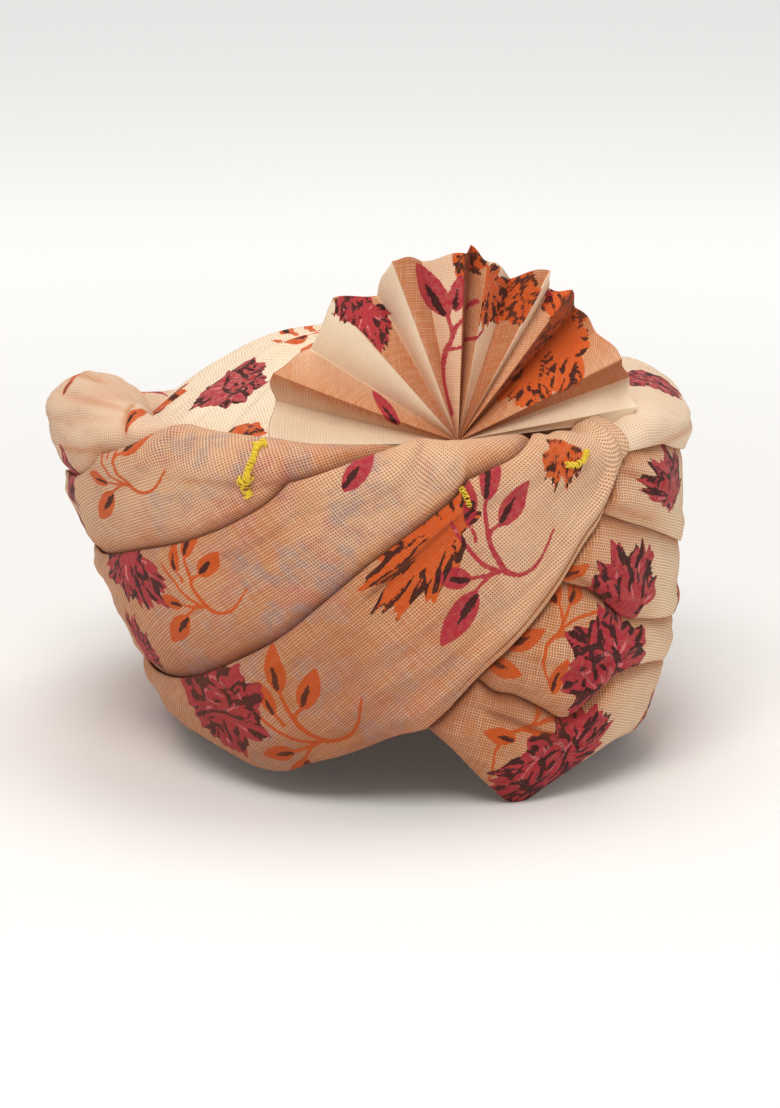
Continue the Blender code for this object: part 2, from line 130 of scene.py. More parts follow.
def ripples(x: np.ndarray, y: np.ndarray, seed: int, waves: int = 6, stretch: float = 3.0) -> np.ndarray:
    """Soft uneven ripples, long in x, from a few seeded waves.

    Args:
        x: coordinate along the ripples, in wavelengths.
        y: coordinate across them.
        seed: fixed seed.
        waves: number of waves summed.
        stretch: how much longer than wide the ripples are.

    Returns:
        Heights of about -1 to 1.
    """
    rng = random.Random(seed)
    total = np.zeros(np.broadcast(x, y).shape)
    for _ in range(waves):
        along = rng.uniform(-1.0, 1.0) / stretch
        across = rng.uniform(0.55, 1.5)
        bend = 0.35 * np.sin(2 * math.pi * (x * rng.uniform(0.1, 0.35) + rng.random()))
        total += np.sin(2 * math.pi * (x * along + y * across + bend + rng.random()))
    return total / math.sqrt(waves)


# --------------------------------------------------------------------------- the body

@dataclass(frozen=True)
class Body:
    """Flared oval body with a roll along its top.

    Attributes:
        height: resting plane to the foot of the top roll.
        half_width: half width at the top.
        half_length: half length at the top.
        roll_rise: height of the fullest stretch of the roll.
        roll_reach: half depth of the fullest stretch of the roll.
        power: 2 is an ellipse, more is squarer.
        rear_drop: share of height that the top loses at the back.
    """

    height: float = 0.138
    half_width: float = 0.1295
    half_length: float = 0.134
    roll_rise: float = 0.016
    roll_reach: float = 0.019
    power: float = 2.25
    rear_drop: float = 0.22
    drop_from: float = 88.0
    drop_to: float = 150.0
    rows: Table = (
        (-0.05, 0.680, 0.80, -0.020, 0.000), (0.128, 0.765, 0.85, -0.020, 0.010),
        (0.307, 0.840, 0.89, -0.030, 0.025), (0.496, 0.900, 0.93, -0.055, 0.050),
        (0.674, 0.940, 0.96, -0.080, 0.080), (0.853, 0.975, 0.985, -0.110, 0.105),
        (1.000, 1.000, 1.000, -0.125, 0.125),
    )
    roll_rows: Table = (
        (-180, 0.60, 0.50), (-120, 0.74, 0.65), (-95, 0.84, 0.90), (-80, 0.80, 0.85),
        (-68, 0.76, 0.65), (-55, 0.70, 0.50), (-45, 0.68, 0.45), (-20, 0.50, 0.36), (0, 0.48, 0.36),
        (18, 0.52, 0.38), (28, 0.45, 0.42), (36, 0.22, 0.48), (43, 0.50, 0.60), (52, 0.68, 0.72),
        (80, 0.66, 1.00), (120, 0.62, 0.80), (180, 0.60, 0.50),
    )

    def top(self, turn: np.ndarray) -> np.ndarray:
        """Height of the foot of the top roll at turns."""
        around = np.abs((turn + 180.0) % 360.0 - 180.0)
        return self.height * (1 - self.rear_drop * ease(self.drop_from, self.drop_to, around))

    def roll(self, turn: np.ndarray) -> tuple[np.ndarray, np.ndarray]:
        """Rise and half depth of the top roll at turns."""
        around = (turn + 180.0) % 360.0 - 180.0
        return (smooth_curve(self.roll_rows, around, 1) * self.roll_rise,
                smooth_curve(self.roll_rows, around, 2) * self.roll_reach)

    def point(self, turn: np.ndarray, share: np.ndarray, off: np.ndarray) -> np.ndarray:
        """Points on the body.

        Args:
            turn: turns, broadcast with share and off.
            share: shares of 0 to 2.
            off: distance out from the body's surface.

        Returns:
            Array with a last axis of x, y and z, in the row frame.
        """
        turn, share, off = np.broadcast_arrays(turn, share, off)
        level = np.clip(share, 0.0, 1.0)
        wide, long, shift_x, shift_y = (smooth_curve(self.rows, level, column) for column in (1, 2, 3, 4))
        rise, reach = self.roll(turn)
        over = math.pi * np.clip(share - 1.0, 0.0, 1.0)
        outward = off * np.cos(over) - reach * (1 - np.cos(over))
        sine, cosine = np.sin(np.radians(turn)), np.cos(np.radians(turn))
        oval = (np.abs(sine) ** self.power + np.abs(cosine) ** self.power) ** (-1 / self.power)
        return np.stack((
            shift_x * self.half_width + (wide * self.half_width + outward) * oval * sine,
            shift_y * self.half_length - (long * self.half_length + outward) * oval * cosine,
            level * self.top(turn) + (rise + off) * np.sin(over),
        ), axis=-1) + CENTRE_SHIFT

    def to_length(self, turn: np.ndarray, share: np.ndarray) -> np.ndarray:
        """Distance up the body, over the roll, at shares."""
        half_round = math.pi * sum(self.roll(turn)) / 2
        return np.minimum(share, 1.0) * self.top(turn) + np.maximum(share - 1.0, 0.0) * half_round

    def to_share(self, turn: np.ndarray, length: np.ndarray) -> np.ndarray:
        """Share at distances up the body, over the roll."""
        half_round = math.pi * sum(self.roll(turn)) / 2
        foot = self.top(turn)
        return np.minimum(length, foot) / foot + np.maximum(length - foot, 0.0) / half_round


BODY = Body()


@dataclass(frozen=True)
class Cloth:
    """Thicknesses and clearances of the lapped cloth."""

    layer: float = 0.0012
    pleat: float = 0.0026
    tuck: float = 0.007
    seat_gap: float = 0.0005
    lap_gap: float = 0.0004
    puff: float = 0.006
    lip: float = 0.0025
    nose: float = 0.0010
    nose_round: float = 0.0013
    lip_share: float = 0.58
    lip_run: float = 0.012
    raised_to: float = 0.0076
    raised_end: float = 0.0142
    emerge: float = 0.003

    @property
    def lap(self) -> float:
        """One climbed layer with its clearance."""
        return self.layer + self.lap_gap


CLOTH = Cloth()
ROLL_LAPS = 1.6

# Columns of each border: turn, share
RIM_LEFT = (
    (-180, 0.0), (-135, 0.0), (-112, 0.015), (-94, 0.045), (-80, 0.085), (-69, 0.106), (-60, 0.100),
    (-50, 0.081), (-42, 0.089), (-34.5, 0.133), (-26.5, 0.172), (-20, 0.209), (-13.8, 0.247),
    (-8.2, 0.267),
)
PANEL_EDGE = (
    (-8.2, 0.267), (-4.2, 0.315), (3, 0.417), (11, 0.519), (19.5, 0.653), (26, 0.779), (30.2, 0.850),
    (33, 0.935), (35, 1.020), (37, 1.180), (39, 1.600), (41, 2.000),
)
PANEL_TOP = (
    (-180, 0.20), (-140, 0.21), (-105, 0.24), (-88, 0.262), (-76.8, 0.280), (-62.5, 0.322),
    (-53, 0.373), (-42.8, 0.446), (-33, 0.530), (-22.2, 0.657), (-15, 0.745), (-8.2, 0.821),
    (-0.8, 0.902), (4, 0.965), (8.5, 1.070), (16.2, 1.280), (20.5, 1.560), (24, 1.850), (27.5, 2.0),
    (31, 2.0), (41, 2.0),
)
MIDDLE_TOP = (
    (-180, 0.52), (-140, 0.54), (-105, 0.585), (-83, 0.622), (-59, 0.727), (-45.2, 0.798),
    (-34.2, 0.882), (-27.2, 0.958), (-20.5, 1.080), (-13.2, 1.280), (-7.3, 1.480), (-4, 1.700),
    (-0.5, 2.0), (6, 2.0), (27.5, 2.0),
)
UPPER_TOP = (
    (-180, 0.80), (-140, 0.80), (-105, 0.82), (-85, 0.853), (-72.5, 0.910), (-65, 0.975),
    (-58, 1.080), (-53, 1.220), (-48, 1.500), (-43, 2.0), (-33, 2.0), (0, 2.0),
)
RIM_RIGHT = (
    (-11, 0.305), (-8.2, 0.267), (-3, 0.194), (2.2, 0.116), (7.5, 0.050), (12, 0.004), (16.5, 0.0),
    (21.5, 0.034), (28, 0.074), (34.2, 0.102), (40.8, 0.122), (48, 0.115), (58, 0.090), (70, 0.060),
    (90, 0.030), (110, 0.008), (130, 0.0), (192, 0.0),
)
LOWER_CREASE = (
    (-8, 0.52), (3, 0.417), (6.2, 0.373), (10.2, 0.355), (16.2, 0.305), (22, 0.258), (28, 0.296),
    (34.2, 0.350), (42, 0.355), (60, 0.300), (85, 0.230), (135, 0.165), (192, 0.150),
)
MIDDLE_CREASE = (
    (12, 0.76), (17, 0.715), (22, 0.672), (27.5, 0.634), (31.5, 0.583), (35.5, 0.532), (41.8, 0.502),
    (60, 0.435), (85, 0.365), (135, 0.310), (192, 0.300),
)
UPPER_CREASE = (
    (24, 0.92), (31, 0.856), (37, 0.811), (44, 0.766), (49, 0.732), (65, 0.640), (85, 0.570),
    (135, 0.520), (192, 0.500),
)
TOP_CREASE = (
    (28, 1.20), (33, 1.150), (36, 1.100), (39, 1.060), (44, 1.030), (51, 0.985), (65, 0.920),
    (85, 0.870), (135, 0.820), (192, 0.800),
)
LEFT_TAIL = ((-180, 2), (-174, 2), (-168, 0), (31, 0))
RIGHT_TAIL = ((0, 1), (174, 1), (180, 0), (186, 0))
MARGIN = ((0, 1), (46, 1), (60, 0.3), (174, 0.3), (180, 0), (186, 0))
FLAT = ((0, 0), (1, 0))
WHOLE = ((0, 1), (1, 1))


def panel_bottom(turn: np.ndarray) -> np.ndarray:
    """Share of the front panel's lower border: the left rim, then the slanting front edge."""
    return np.where(turn <= RIM_LEFT[-1][0], smooth_curve(RIM_LEFT, turn), smooth_curve(PANEL_EDGE, turn))


def right_border(table: Table) -> Callable[[np.ndarray], np.ndarray]:
    """Border of a right band, stopped by the front panel's slanting edge."""
    def border(turn: np.ndarray) -> np.ndarray:
        """Share of the border at turns."""
        stop = np.where(turn < PANEL_EDGE[-1][0], panel_bottom(turn), 2.0)
        return np.minimum(smooth_curve(table, turn), stop)
    return border


def border_of(table: Table) -> Callable[[np.ndarray], np.ndarray]:
    """Border that follows a table."""
    return lambda turn: smooth_curve(table, turn)


# --------------------------------------------------------------------------- meshes

class Surface:
    """Grid of points that becomes a mesh with cloth coordinates and print channels.

    Attributes:
        points: array of columns, rows and xyz.
        uv: cloth coordinates in metres, same grid.
        ink: distance fields of the inks in millimetres, same grid.
        tone: 0 for lit cream cloth, 1 for tan shade, 2 for the deepest folds, same grid.
        ghost: how much of a layer below shows through, same grid.
    """

    def __init__(self, points: np.ndarray, uv: np.ndarray) -> None:
        """Keep the points and their cloth coordinates.

        Args:
            points: grid of points.
            uv: grid of cloth coordinates.
        """
        self.points = points
        self.uv = uv
        self.ink = np.full(points.shape[:2] + (len(Ink),), -9.0)
        self.tone = np.zeros(points.shape[:2])
        self.ghost = np.zeros(points.shape[:2])

    def paint(self, chosen: tuple, ink: Ink, distance: np.ndarray) -> None:
        """Add an inked shape.

        Args:
            chosen: index arrays of the grid points concerned.
            ink: which ink.
            distance: signed distance inside the shape at those points, in millimetres.
        """
        layer = self.ink[..., ink.value]
        layer[chosen] = np.maximum(layer[chosen], distance)

    def cover(self, chosen: tuple, distance: np.ndarray) -> None:
        """Hide dark and light strokes under a new shape.

        Args:
            chosen: index arrays of the grid points concerned.
            distance: signed distance inside the new shape, in millimetres.
        """
        for ink in (Ink.BLACK, Ink.LIGHT):
            layer = self.ink[..., ink.value]
            layer[chosen] = np.minimum(layer[chosen], -distance)

    def mesh(self, name: str, ring: bool, closed: bool) -> bpy.types.Mesh:
        """Make the mesh.

        Args:
            name: name of the mesh.
            ring: whether the last row joins the first.
            closed: whether the last column joins the first; otherwise the ends of a ring are capped.

        Returns:
            The new mesh.
        """
        columns, rows = self.points.shape[:2]
        column, row = np.meshgrid(np.arange(columns if closed else columns - 1),
                                  np.arange(rows if ring else rows - 1), indexing="ij")
        column, row = column.ravel(), row.ravel()
        after, above = (column + 1) % columns, (row + 1) % rows
        quads = np.stack((column * rows + row, after * rows + row, after * rows + above,
                          column * rows + above), axis=1)
        corners = quads.ravel()
        starts = np.arange(len(quads)) * 4
        if ring and not closed:
            first, last = np.arange(rows), (columns - 1) * rows + np.arange(rows)[::-1]
            starts = np.concatenate((starts, (len(corners), len(corners) + rows)))
            corners = np.concatenate((corners, first, last))
        mesh = bpy.data.meshes.new(name)
        mesh.vertices.add(columns * rows)
        mesh.vertices.foreach_set("co", self.points.reshape(-1).astype(np.float32))
        mesh.loops.add(len(corners))
        mesh.loops.foreach_set("vertex_index", corners.astype(np.int32))
        mesh.polygons.add(len(starts))
        mesh.polygons.foreach_set("loop_start", starts.astype(np.int32))
        mesh.update(calc_edges=True)
        layer = mesh.uv_layers.new(name="cloth")
        layer.data.foreach_set("uv", self.uv.reshape(-1, 2)[corners].reshape(-1).astype(np.float32))
        field = mesh.attributes.new("ink", "FLOAT_COLOR", "POINT")
        coded = np.clip(0.5 + self.ink / 10.0, 0.0, 1.0)
        field.data.foreach_set("color", coded.reshape(-1).astype(np.float32))
        # painted shade and show-through go onto the mesh as point attributes
        for label, values in (("tone", self.tone), ("ghost", self.ghost)):
            extra = mesh.attributes.new(label, "FLOAT", "POINT")
            extra.data.foreach_set("value", np.clip(values, 0, 2).reshape(-1).astype(np.float32))
        mesh.validate()
        mesh.shade_smooth()
        return mesh


class Piece:
    """A cloth piece that stands for a CAD node."""

    def __init__(self, node: str, slot: str) -> None:
        """Name the piece.

        Args:
            node: CAD node that it replaces.
            slot: the record's material slot.
        """
        self.node = node
        self.slot = slot
        self.thing: Optional[bpy.types.Object] = None

    def place(self, mesh: bpy.types.Mesh, material: bpy.types.Material) -> None:
        """Args:
            mesh: its mesh.
            material: its finish.
        """
        mesh.materials.append(material)
        self.thing = bpy.data.objects.new(self.node + "_cloth", mesh)
        bpy.context.scene.collection.objects.link(self.thing)
        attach(self.thing, "root")
        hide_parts(self.node)


# --------------------------------------------------------------------------- bands

@dataclass(frozen=True)
class BandSpec:
    """One band of cloth.

    Laps count the layers that a border or the whole band climbs over. The hem is the width of the
    turned edge on the lower border, seam the painted shade where a border runs under another
    band, and the weave the turn of the threads from the band's run, in degrees.
    """

    node: str
    slot: str
    first: float
    last: float
    lower: Callable[[np.ndarray], np.ndarray]
    upper: Callable[[np.ndarray], np.ndarray]
    lower_lip: bool
    upper_lip: bool
    rows: int
    seed: int
    tone: Table
    lower_laps: Table = FLAT
    upper_laps: Table = FLAT
    lift_laps: Table = FLAT
    fullness: Table = WHOLE
    puff: Table = ((0, 0.3), (1, 0.3))
    ripple: float = 0.0005
    ghost: float = 0.2
    hem: float = 0.0
    seam: float = 0.95
    weave: float = -18.0


def bands() -> tuple[BandSpec, ...]:
    """Every band, from the top left round to the lower right."""
    pale, pleat = "pale_cloth", "pleat_cloth"
    return (
        BandSpec("wing_roll", pale, -180, -48, border_of(UPPER_TOP), lambda turn: np.full_like(turn, 2.0),
                 False, True, 100, 11, ((-180, 0.4), (-100, 0.55), (-75, 0.70), (-60, 0.45)),
                 lift_laps=LEFT_TAIL,
                 puff=((-180, 0.3), (-110, 0.20), (-95, 0.10), (-70, 0.06), (-53, 0.05)), ripple=0.0006,
                 seam=0.4, weave=14.0),
        BandSpec("left_pleat_upper", pleat, -180, -4, border_of(MIDDLE_TOP), border_of(UPPER_TOP),
                 False, True, 74, 12, ((-180, 0.4), (-90, 0.50), (-60, 0.70), (-20, 0.80)),
                 upper_laps=((-66, 1), (-58, ROLL_LAPS), (-48, ROLL_LAPS), (-43, 0)), lift_laps=LEFT_TAIL,
                 ghost=0.85, weave=22.0),
        BandSpec("left_pleat_middle", pleat, -180, 20.5, border_of(PANEL_TOP), border_of(MIDDLE_TOP),
                 False, True, 78, 13,
                 ((-180, 0.5), (-90, 0.65), (-60, 0.95), (-30, 1.0), (-10, 0.65), (10, 0.5)),
                 upper_laps=((-30, 1), (-20, ROLL_LAPS), (-4, ROLL_LAPS), (3, 0)), lift_laps=LEFT_TAIL,
                 ghost=1.0, weave=32.0),
        BandSpec("front_panel", pleat, -180, 39, panel_bottom, border_of(PANEL_TOP), True, True, 104, 14,
                 ((-180, 0.6), (-80, 0.8), (-55, 0.95), (-20, 1.1), (0, 0.85), (12, 0.65), (32, 0.6)),
                 lower_laps=((-18, 0), (-11, 2), (31, 2), (33, 0)),
                 upper_laps=((0, 1), (8, ROLL_LAPS), (20.5, ROLL_LAPS), (24, 0)),
                 lift_laps=LEFT_TAIL + ((33, 2.2), (35, 2.8), (37, 3.8), (41, 3.8)),
                 ghost=0.6, hem=0.0036, weave=37.0),
        BandSpec("right_top_fold", pale, 35, 186, right_border(TOP_CREASE),
                 lambda turn: np.full_like(turn, 2.0), True, True, 84, 15, ((35, 0.25), (186, 0.3)),
                 lower_laps=((35, 1), (39, 1), (43, 1.5), (58, 1.5), (74, 1)),
                 fullness=((35, 0), (39, 0), (43, 1)) + RIGHT_TAIL[1:],
                 puff=((35, 0), (39, 0), (48, 0.3), (90, 0.15), (168, 0.1))),
        BandSpec("right_roll", pleat, 27.5, 186, right_border(UPPER_CREASE), right_border(TOP_CREASE),
                 True, False, 62, 16, ((27, 0.8), (45, 0.35), (55, 0.05), (90, 0.2)),
                 lower_laps=((27.5, 1), (28, 1)), fullness=MARGIN,
                 puff=((27.5, 0), (35, 0.4), (48, 0.75), (62, 0.6), (80, 0.2), (168, 0.1))),
        BandSpec("right_pleat_upper", pleat, 17, 186, right_border(MIDDLE_CREASE),
                 right_border(UPPER_CREASE), True, False, 54, 17,
                 ((17, 0.95), (34, 0.65), (47, 0.05), (90, 0.2)),
                 lower_laps=((17, 1), (18, 1)), fullness=MARGIN,
                 puff=((17, 0), (28, 0.3), (46, 0.12), (60, 0.0)), ripple=0.0007, ghost=0.4),
        BandSpec("right_pleat_middle", pleat, -0.5, 186, right_border(LOWER_CREASE),
                 right_border(MIDDLE_CREASE), True, False, 50, 18,
                 ((-1, 1.0), (28, 0.75), (43, 0.05), (90, 0.25)),
                 lower_laps=((-1, 1), (0, 1)), fullness=MARGIN,
                 puff=((-1, 0), (10, 0.3), (30, 0.4), (46, 0.12), (60, 0.0)), ripple=0.0007, ghost=0.4),
        BandSpec("right_pleat_lower", pleat, -11, 186, right_border(RIM_RIGHT), right_border(LOWER_CREASE),
                 True, False, 66, 19, ((-11, 1.05), (18, 0.75), (40, 0.15), (90, 0.3)), fullness=MARGIN,
                 puff=((-11, 0), (3, 0.3), (30, 0.4), (48, 0.2), (168, 0.1)), ripple=0.0006),
    )


class Band(Piece):
    """Fine lapped band with folded lips, soft ripples and its print."""

    FINE_STEP = 0.37
    COARSE_STEP = 0.95
    FINE_TO = 128.0
    UNDER_ROWS = 7
    # HEM_LINE is the width of the painted shade line along the hem's fold
    HEM_RISE, HEM_EDGE, HEM_LINE = 0.0007, 0.0002, 0.00035
    HEM_STARTS, HEM_SHOWS, HEM_ENDS = (2.0, 12.0), (-6.0, 2.0), (28.0, 33.0)
    # painted crease shade fades over CREASE_RUN; LIP_SHADE is its amount at a folded lip, TUCK_SHADE in a
    # tuck's crease
    CREASE_RUN, LIP_SHADE = 0.0045, 0.12
    TUCK_RISE, TUCK_SHADE = 0.0008, 0.6
    SHOW_TURN, SHOW_SPREAD, SHOW_LEAST = -26.0, 38.0, 0.10

    def __init__(self, spec: BandSpec) -> None:
        """Keep the band's description.

        Args:
            spec: the band.
        """
        super().__init__(spec.node, spec.slot)
        self.spec = spec

    def turns(self) -> np.ndarray:
        """Turns of the columns: fine in front and at the sides, coarser behind."""
        parts = []
        for low, high, step in ((-180, -self.FINE_TO, self.COARSE_STEP),
                                (-self.FINE_TO, self.FINE_TO, self.FINE_STEP),
                                (self.FINE_TO, 187, self.COARSE_STEP)):
            start, end = max(low, self.spec.first), min(high, self.spec.last)
            if end > start:
                parts.append(np.linspace(start, end, max(int((end - start) / step), 2) + 1)[:-1])
        return np.append(np.concatenate(parts), self.spec.last)

    def under(self, turn: np.ndarray, place: np.ndarray, start: np.ndarray, end: np.ndarray) -> np.ndarray:
        """Distance of the underside from the body.

        Args:
            turn: turns of the columns.
            place: distances up the body.
            start: distance at which the cloth starts.
            end: distance at which it ends.

        Returns:
            Distances at the places.
        """
        low = 1 - ease(CLOTH.raised_to, CLOTH.raised_end, place - start)
        high = 1 - ease(CLOTH.raised_to, CLOTH.raised_end, end - place)
        laps = np.maximum(low * straight_curve(self.spec.lower_laps, turn),
                          high * straight_curve(self.spec.upper_laps, turn))
        return CLOTH.seat_gap + CLOTH.lap * (straight_curve(self.spec.lift_laps, turn) + laps)

    def relief(self, turn: np.ndarray, place: np.ndarray, low: np.ndarray, high: np.ndarray) -> np.ndarray:
        """Outward swell of ripples and tucks in the seen cloth, never below zero.

        Args:
            turn: turns of the columns.
            place: distances up the body.
            low: lower border's distance.
            high: upper border's distance.

        Returns:
            Swell at the places.
        """
        spec = self.spec
        seen = ease(0.0, 0.006, place - low) * ease(0.0, 0.004, high - place)
        along, across = turn * TURN_RUN, place - (low + high) / 2
        long_waves = ripples(along / 0.05, across / 0.020, spec.seed, 5, 4.0)
        short_waves = ripples(along / 0.016, across / 0.007, spec.seed + 40, 6, 2.0)
        swell = spec.ripple * (1.1 + long_waves) + 0.00012 * (1.2 + short_waves)
        total = swell * seen
        for row in TUCKS:
            if row.node == spec.node:
                total = total + row.swell(turn, place) * seen
        if spec.hem:
            hem = 1 - ease(spec.hem - self.HEM_EDGE, spec.hem + self.HEM_EDGE, place - low)
            ends = 1 - ease(*self.HEM_ENDS, turn)
            total = total + self.HEM_RISE * hem * ease(*self.HEM_STARTS, turn) * ends
        return np.maximum(total, 0.0)

    def build(self, material: bpy.types.Material) -> None:
        """Make the band.

        Args:
            material: its finish.
        """
        spec = self.spec
        turn = self.turns()[:, None]
        low, high = BODY.to_length(turn, spec.lower(turn)), BODY.to_length(turn, spec.upper(turn))
        high = np.maximum(high, low + 0.0004)
        start = low if spec.lower_lip else low - CLOTH.tuck
        end = high if spec.upper_lip else high + CLOTH.tuck
        full = straight_curve(spec.fullness, turn)
        thick = CLOTH.layer + (CLOTH.pleat - CLOTH.layer) * full
        seen = high - low
        lip = np.minimum(CLOTH.lip, 0.3 * seen)
        nose = np.array([0.0, 0.09, 0.3, 0.62, 1.0])
        low_part = low + lip * nose if spec.lower_lip else np.concatenate(
            (start, (start + low) / 2, low, low + lip * 0.5, low + lip), axis=1)
        if spec.hem:
            low_part = np.concatenate((low_part, low + np.minimum(spec.hem, 0.45 * seen) * np.array(
                [0.86, 0.95, 1.05, 1.14])), axis=1)
        high_part = high - lip * nose[::-1] if spec.upper_lip else np.concatenate(
            (high - lip, high - lip * 0.5, high, (high + end) / 2, end), axis=1)
        share = np.linspace(0, 1, spec.rows)[None, 1:-1]
        middle = low_part[:, -1:] + (high_part[:, :1] - low_part[:, -1:]) * share
        outer = np.concatenate((low_part, middle, high_part), axis=1)
        wall = np.full_like(outer, 1.0) * thick
        for has_lip, gone in ((spec.lower_lip, outer - low), (spec.upper_lip, high - outer)):
            if has_lip:
                part = np.clip(gone / CLOTH.nose_round, 0, 1)
                thin = thick * (CLOTH.lip_share + (1 - CLOTH.lip_share) * ease(0.0, CLOTH.lip_run, gone))
                wall = np.minimum(wall, thin * (0.5 + 0.5 * np.sqrt(1 - (1 - part) ** 2)))
            else:
                part = ease(0.0, CLOTH.emerge * 1.6, gone)
                wall = np.minimum(wall, CLOTH.layer + (thick - CLOTH.layer) * part)
        puff = CLOTH.puff * straight_curve(spec.puff, turn) * full
        bump = puff * np.sin(math.pi * np.clip((outer - low) / seen, 0, 1))
        relief = self.relief(turn, outer, low, high) * (0.3 + 0.7 * full)
        outer_off = self.under(turn, outer, start, end) + wall + bump + relief
        back_share = np.linspace(1, 0, self.UNDER_ROWS)[None, :]
        fold = np.minimum(CLOTH.nose, 0.1 * seen)
        rims = [end - fold * 0.12, end - fold * 0.5] if spec.upper_lip else [end]
        feet = [start + fold * 0.5, start + fold * 0.12] if spec.lower_lip else [start]
        zone = np.minimum(0.012, 0.4 * seen)
        inner = (start + zone) + ((end - zone) - (start + zone)) * back_share
        back = np.concatenate((*rims, end - zone / 2, inner, start + zone / 2, *feet), axis=1)
        back_off = self.under(turn, back, start, end)
        for has_lip, gone in ((spec.lower_lip, back - start), (spec.upper_lip, end - back)):
            if has_lip:
                part = np.clip(gone / np.maximum(fold, 1e-6), 0, 1)
                back_off = back_off + 0.5 * thick * (1 - np.sqrt(1 - (1 - part) ** 2)) * (gone < fold)
        place = np.concatenate((outer, back), axis=1)
        off = np.concatenate((outer_off, back_off), axis=1)
        points = BODY.point(turn, BODY.to_share(turn, place), off)
        surface = Surface(points, self.cloth_map(points, turn, place, (low + high) / 2, outer.shape[1]))
        self.dress(surface, turn, place, low, high, outer.shape[1])
        self.place(surface.mesh(self.node, True, False), material)

    def cloth_map(self, points: np.ndarray, turn: np.ndarray, place: np.ndarray, middle: np.ndarray,
                  seen_rows: int) -> np.ndarray:
        """Cloth coordinates at true length, turned so that the threads run with the band.

        Args:
            points: the band's points.
            turn: turns of the columns.
            place: distances up the body.
            middle: distance of the band's middle line.
            seen_rows: number of rows on the outer face.

        Returns:
            Grid of cloth coordinates.
        """
        level = BODY.point(turn, np.full_like(turn, 0.6), np.zeros_like(turn))[:, 0, :2]
        steps = np.linalg.norm(np.diff(level, axis=0), axis=1)
        along = np.concatenate(((0.0,), np.cumsum(steps)))[:, None] * np.ones_like(place)
        up = place.copy()
        climbed = np.linalg.norm(np.diff(points[:, :seen_rows], axis=1), axis=2)
        climbed = np.concatenate((np.zeros((len(turn), 1)), np.cumsum(climbed, axis=1)), axis=1)
        for column, line in enumerate(climbed):
            centre = middle[column, 0]
            up[column, :seen_rows] = centre + line - np.interp(centre, place[column, :seen_rows], line)
        sine, cosine = math.sin(math.radians(self.spec.weave)), math.cos(math.radians(self.spec.weave))
        return np.stack((along * cosine + up * sine, up * cosine - along * sine), axis=-1)

    def dress(self, surface: Surface, turn: np.ndarray, place: np.ndarray, low: np.ndarray,
              high: np.ndarray, seen_rows: int) -> None:
        """Set the painted shade and show-through and stamp the print on the outer rows.

        Args:
            surface: the band's grid.
            turn: turns of the columns.
            place: distances up the body.
            low: lower border's distance.
            high: upper border's distance.
            seen_rows: number of rows on the outer face.
        """
        spec = self.spec
        share = BODY.to_share(turn, place)
        # painted shade: the band's own amount round the turban, heavier low down and lighter towards the top
        base = straight_curve(spec.tone, turn)
        height = ease(0.15, 1.05, share)
        # painted shade in the creases along the borders and in the tucks' folds
        crease_shade = np.zeros(place.shape)
        for has_lip, gone in ((spec.lower_lip, place - low), (spec.upper_lip, high - place)):
            # painted shade along a border: a little at a folded lip, more where the band runs under its
            # neighbour
            shade = self.LIP_SHADE if has_lip else spec.seam
            crease_shade = crease_shade + np.exp(-np.maximum(gone, 0) / self.CREASE_RUN) * shade
        for row in TUCKS:
            if row.node == spec.node:
                deep = np.clip((row.rise - self.TUCK_RISE) / self.TUCK_RISE, 0, 1)
                crease_shade = crease_shade + self.TUCK_SHADE * deep * row.shade(turn, place)
        surface.tone = base * (1.30 - 0.42 * height) + crease_shade
        if spec.hem:
            # painted shade: a dark line along the fold of the hem
            line = np.exp(-((place - low - spec.hem) / self.HEM_LINE) ** 2)
            line = line * ease(*self.HEM_SHOWS, turn) * (1 - ease(*self.HEM_ENDS, turn))
            surface.tone = surface.tone + line
        show = spec.ghost * np.exp(-((turn - self.SHOW_TURN) / self.SHOW_SPREAD) ** 2)
        surface.ghost = np.ones(place.shape) * show + self.SHOW_LEAST
        outer = Surface(surface.points[:, :seen_rows], surface.uv[:, :seen_rows])
        for motif in MOTIFS:
            if self.node in motif.nodes:
                motif.stamp(outer)
        surface.ink[:, :seen_rows] = outer.ink


# --------------------------------------------------------------------------- tucks and puckers

@dataclass(frozen=True)
class Tuck:
    """A small fold pressed into a band: a ridge along a line, steep on one side.

    Attributes:
        node: band that it lies in.
        start: turn and share of one end.
        end: turn and share of the other end.
        rise: its height.
        steep: width of the steep side, towards the left of the line's run.
        long: width of the gentle side.
    """

    node: str
    start: tuple[float, float]
    end: tuple[float, float]
    rise: float
    steep: float = 0.0012
    long: float = 0.012

    def frame(self, turn: np.ndarray, place: np.ndarray) -> tuple[np.ndarray, np.ndarray]:
        """Where places lie beside the fold's line.

        Args:
            turn: turns of the places.
            place: distances up the body.

        Returns:
            Distance to the left of the line, and 1 along its run fading to 0 past its ends.
        """
        x, y = turn * TURN_RUN, place
        x0, x1 = self.start[0] * TURN_RUN, self.end[0] * TURN_RUN
        y0, y1 = (float(BODY.to_length(np.array(at, float), np.array(share, float)))
                  for at, share in (self.start, self.end))
        length = math.hypot(x1 - x0, y1 - y0)
        ux, uy = (x1 - x0) / length, (y1 - y0) / length
        along = (x - x0) * ux + (y - y0) * uy
        side = (y - y0) * ux - (x - x0) * uy
        return side, ease(-0.1, 0.25, along / length) * (1 - ease(0.75, 1.1, along / length))

    def swell(self, turn: np.ndarray, place: np.ndarray) -> np.ndarray:
        """Height of the fold at places."""
        side, run = self.frame(turn, place)
        profile = np.where(side < 0, ease(-self.steep, 0.0, side), 1 - ease(0.0, self.long, side))
        return self.rise * run * profile

    def shade(self, turn: np.ndarray, place: np.ndarray) -> np.ndarray:
        """How deep in the fold's crease places are, 0 to 1, which weighs the painted shade there."""
        side, run = self.frame(turn, place)
        return run * np.exp(-((side + self.steep) / 0.0016) ** 2)


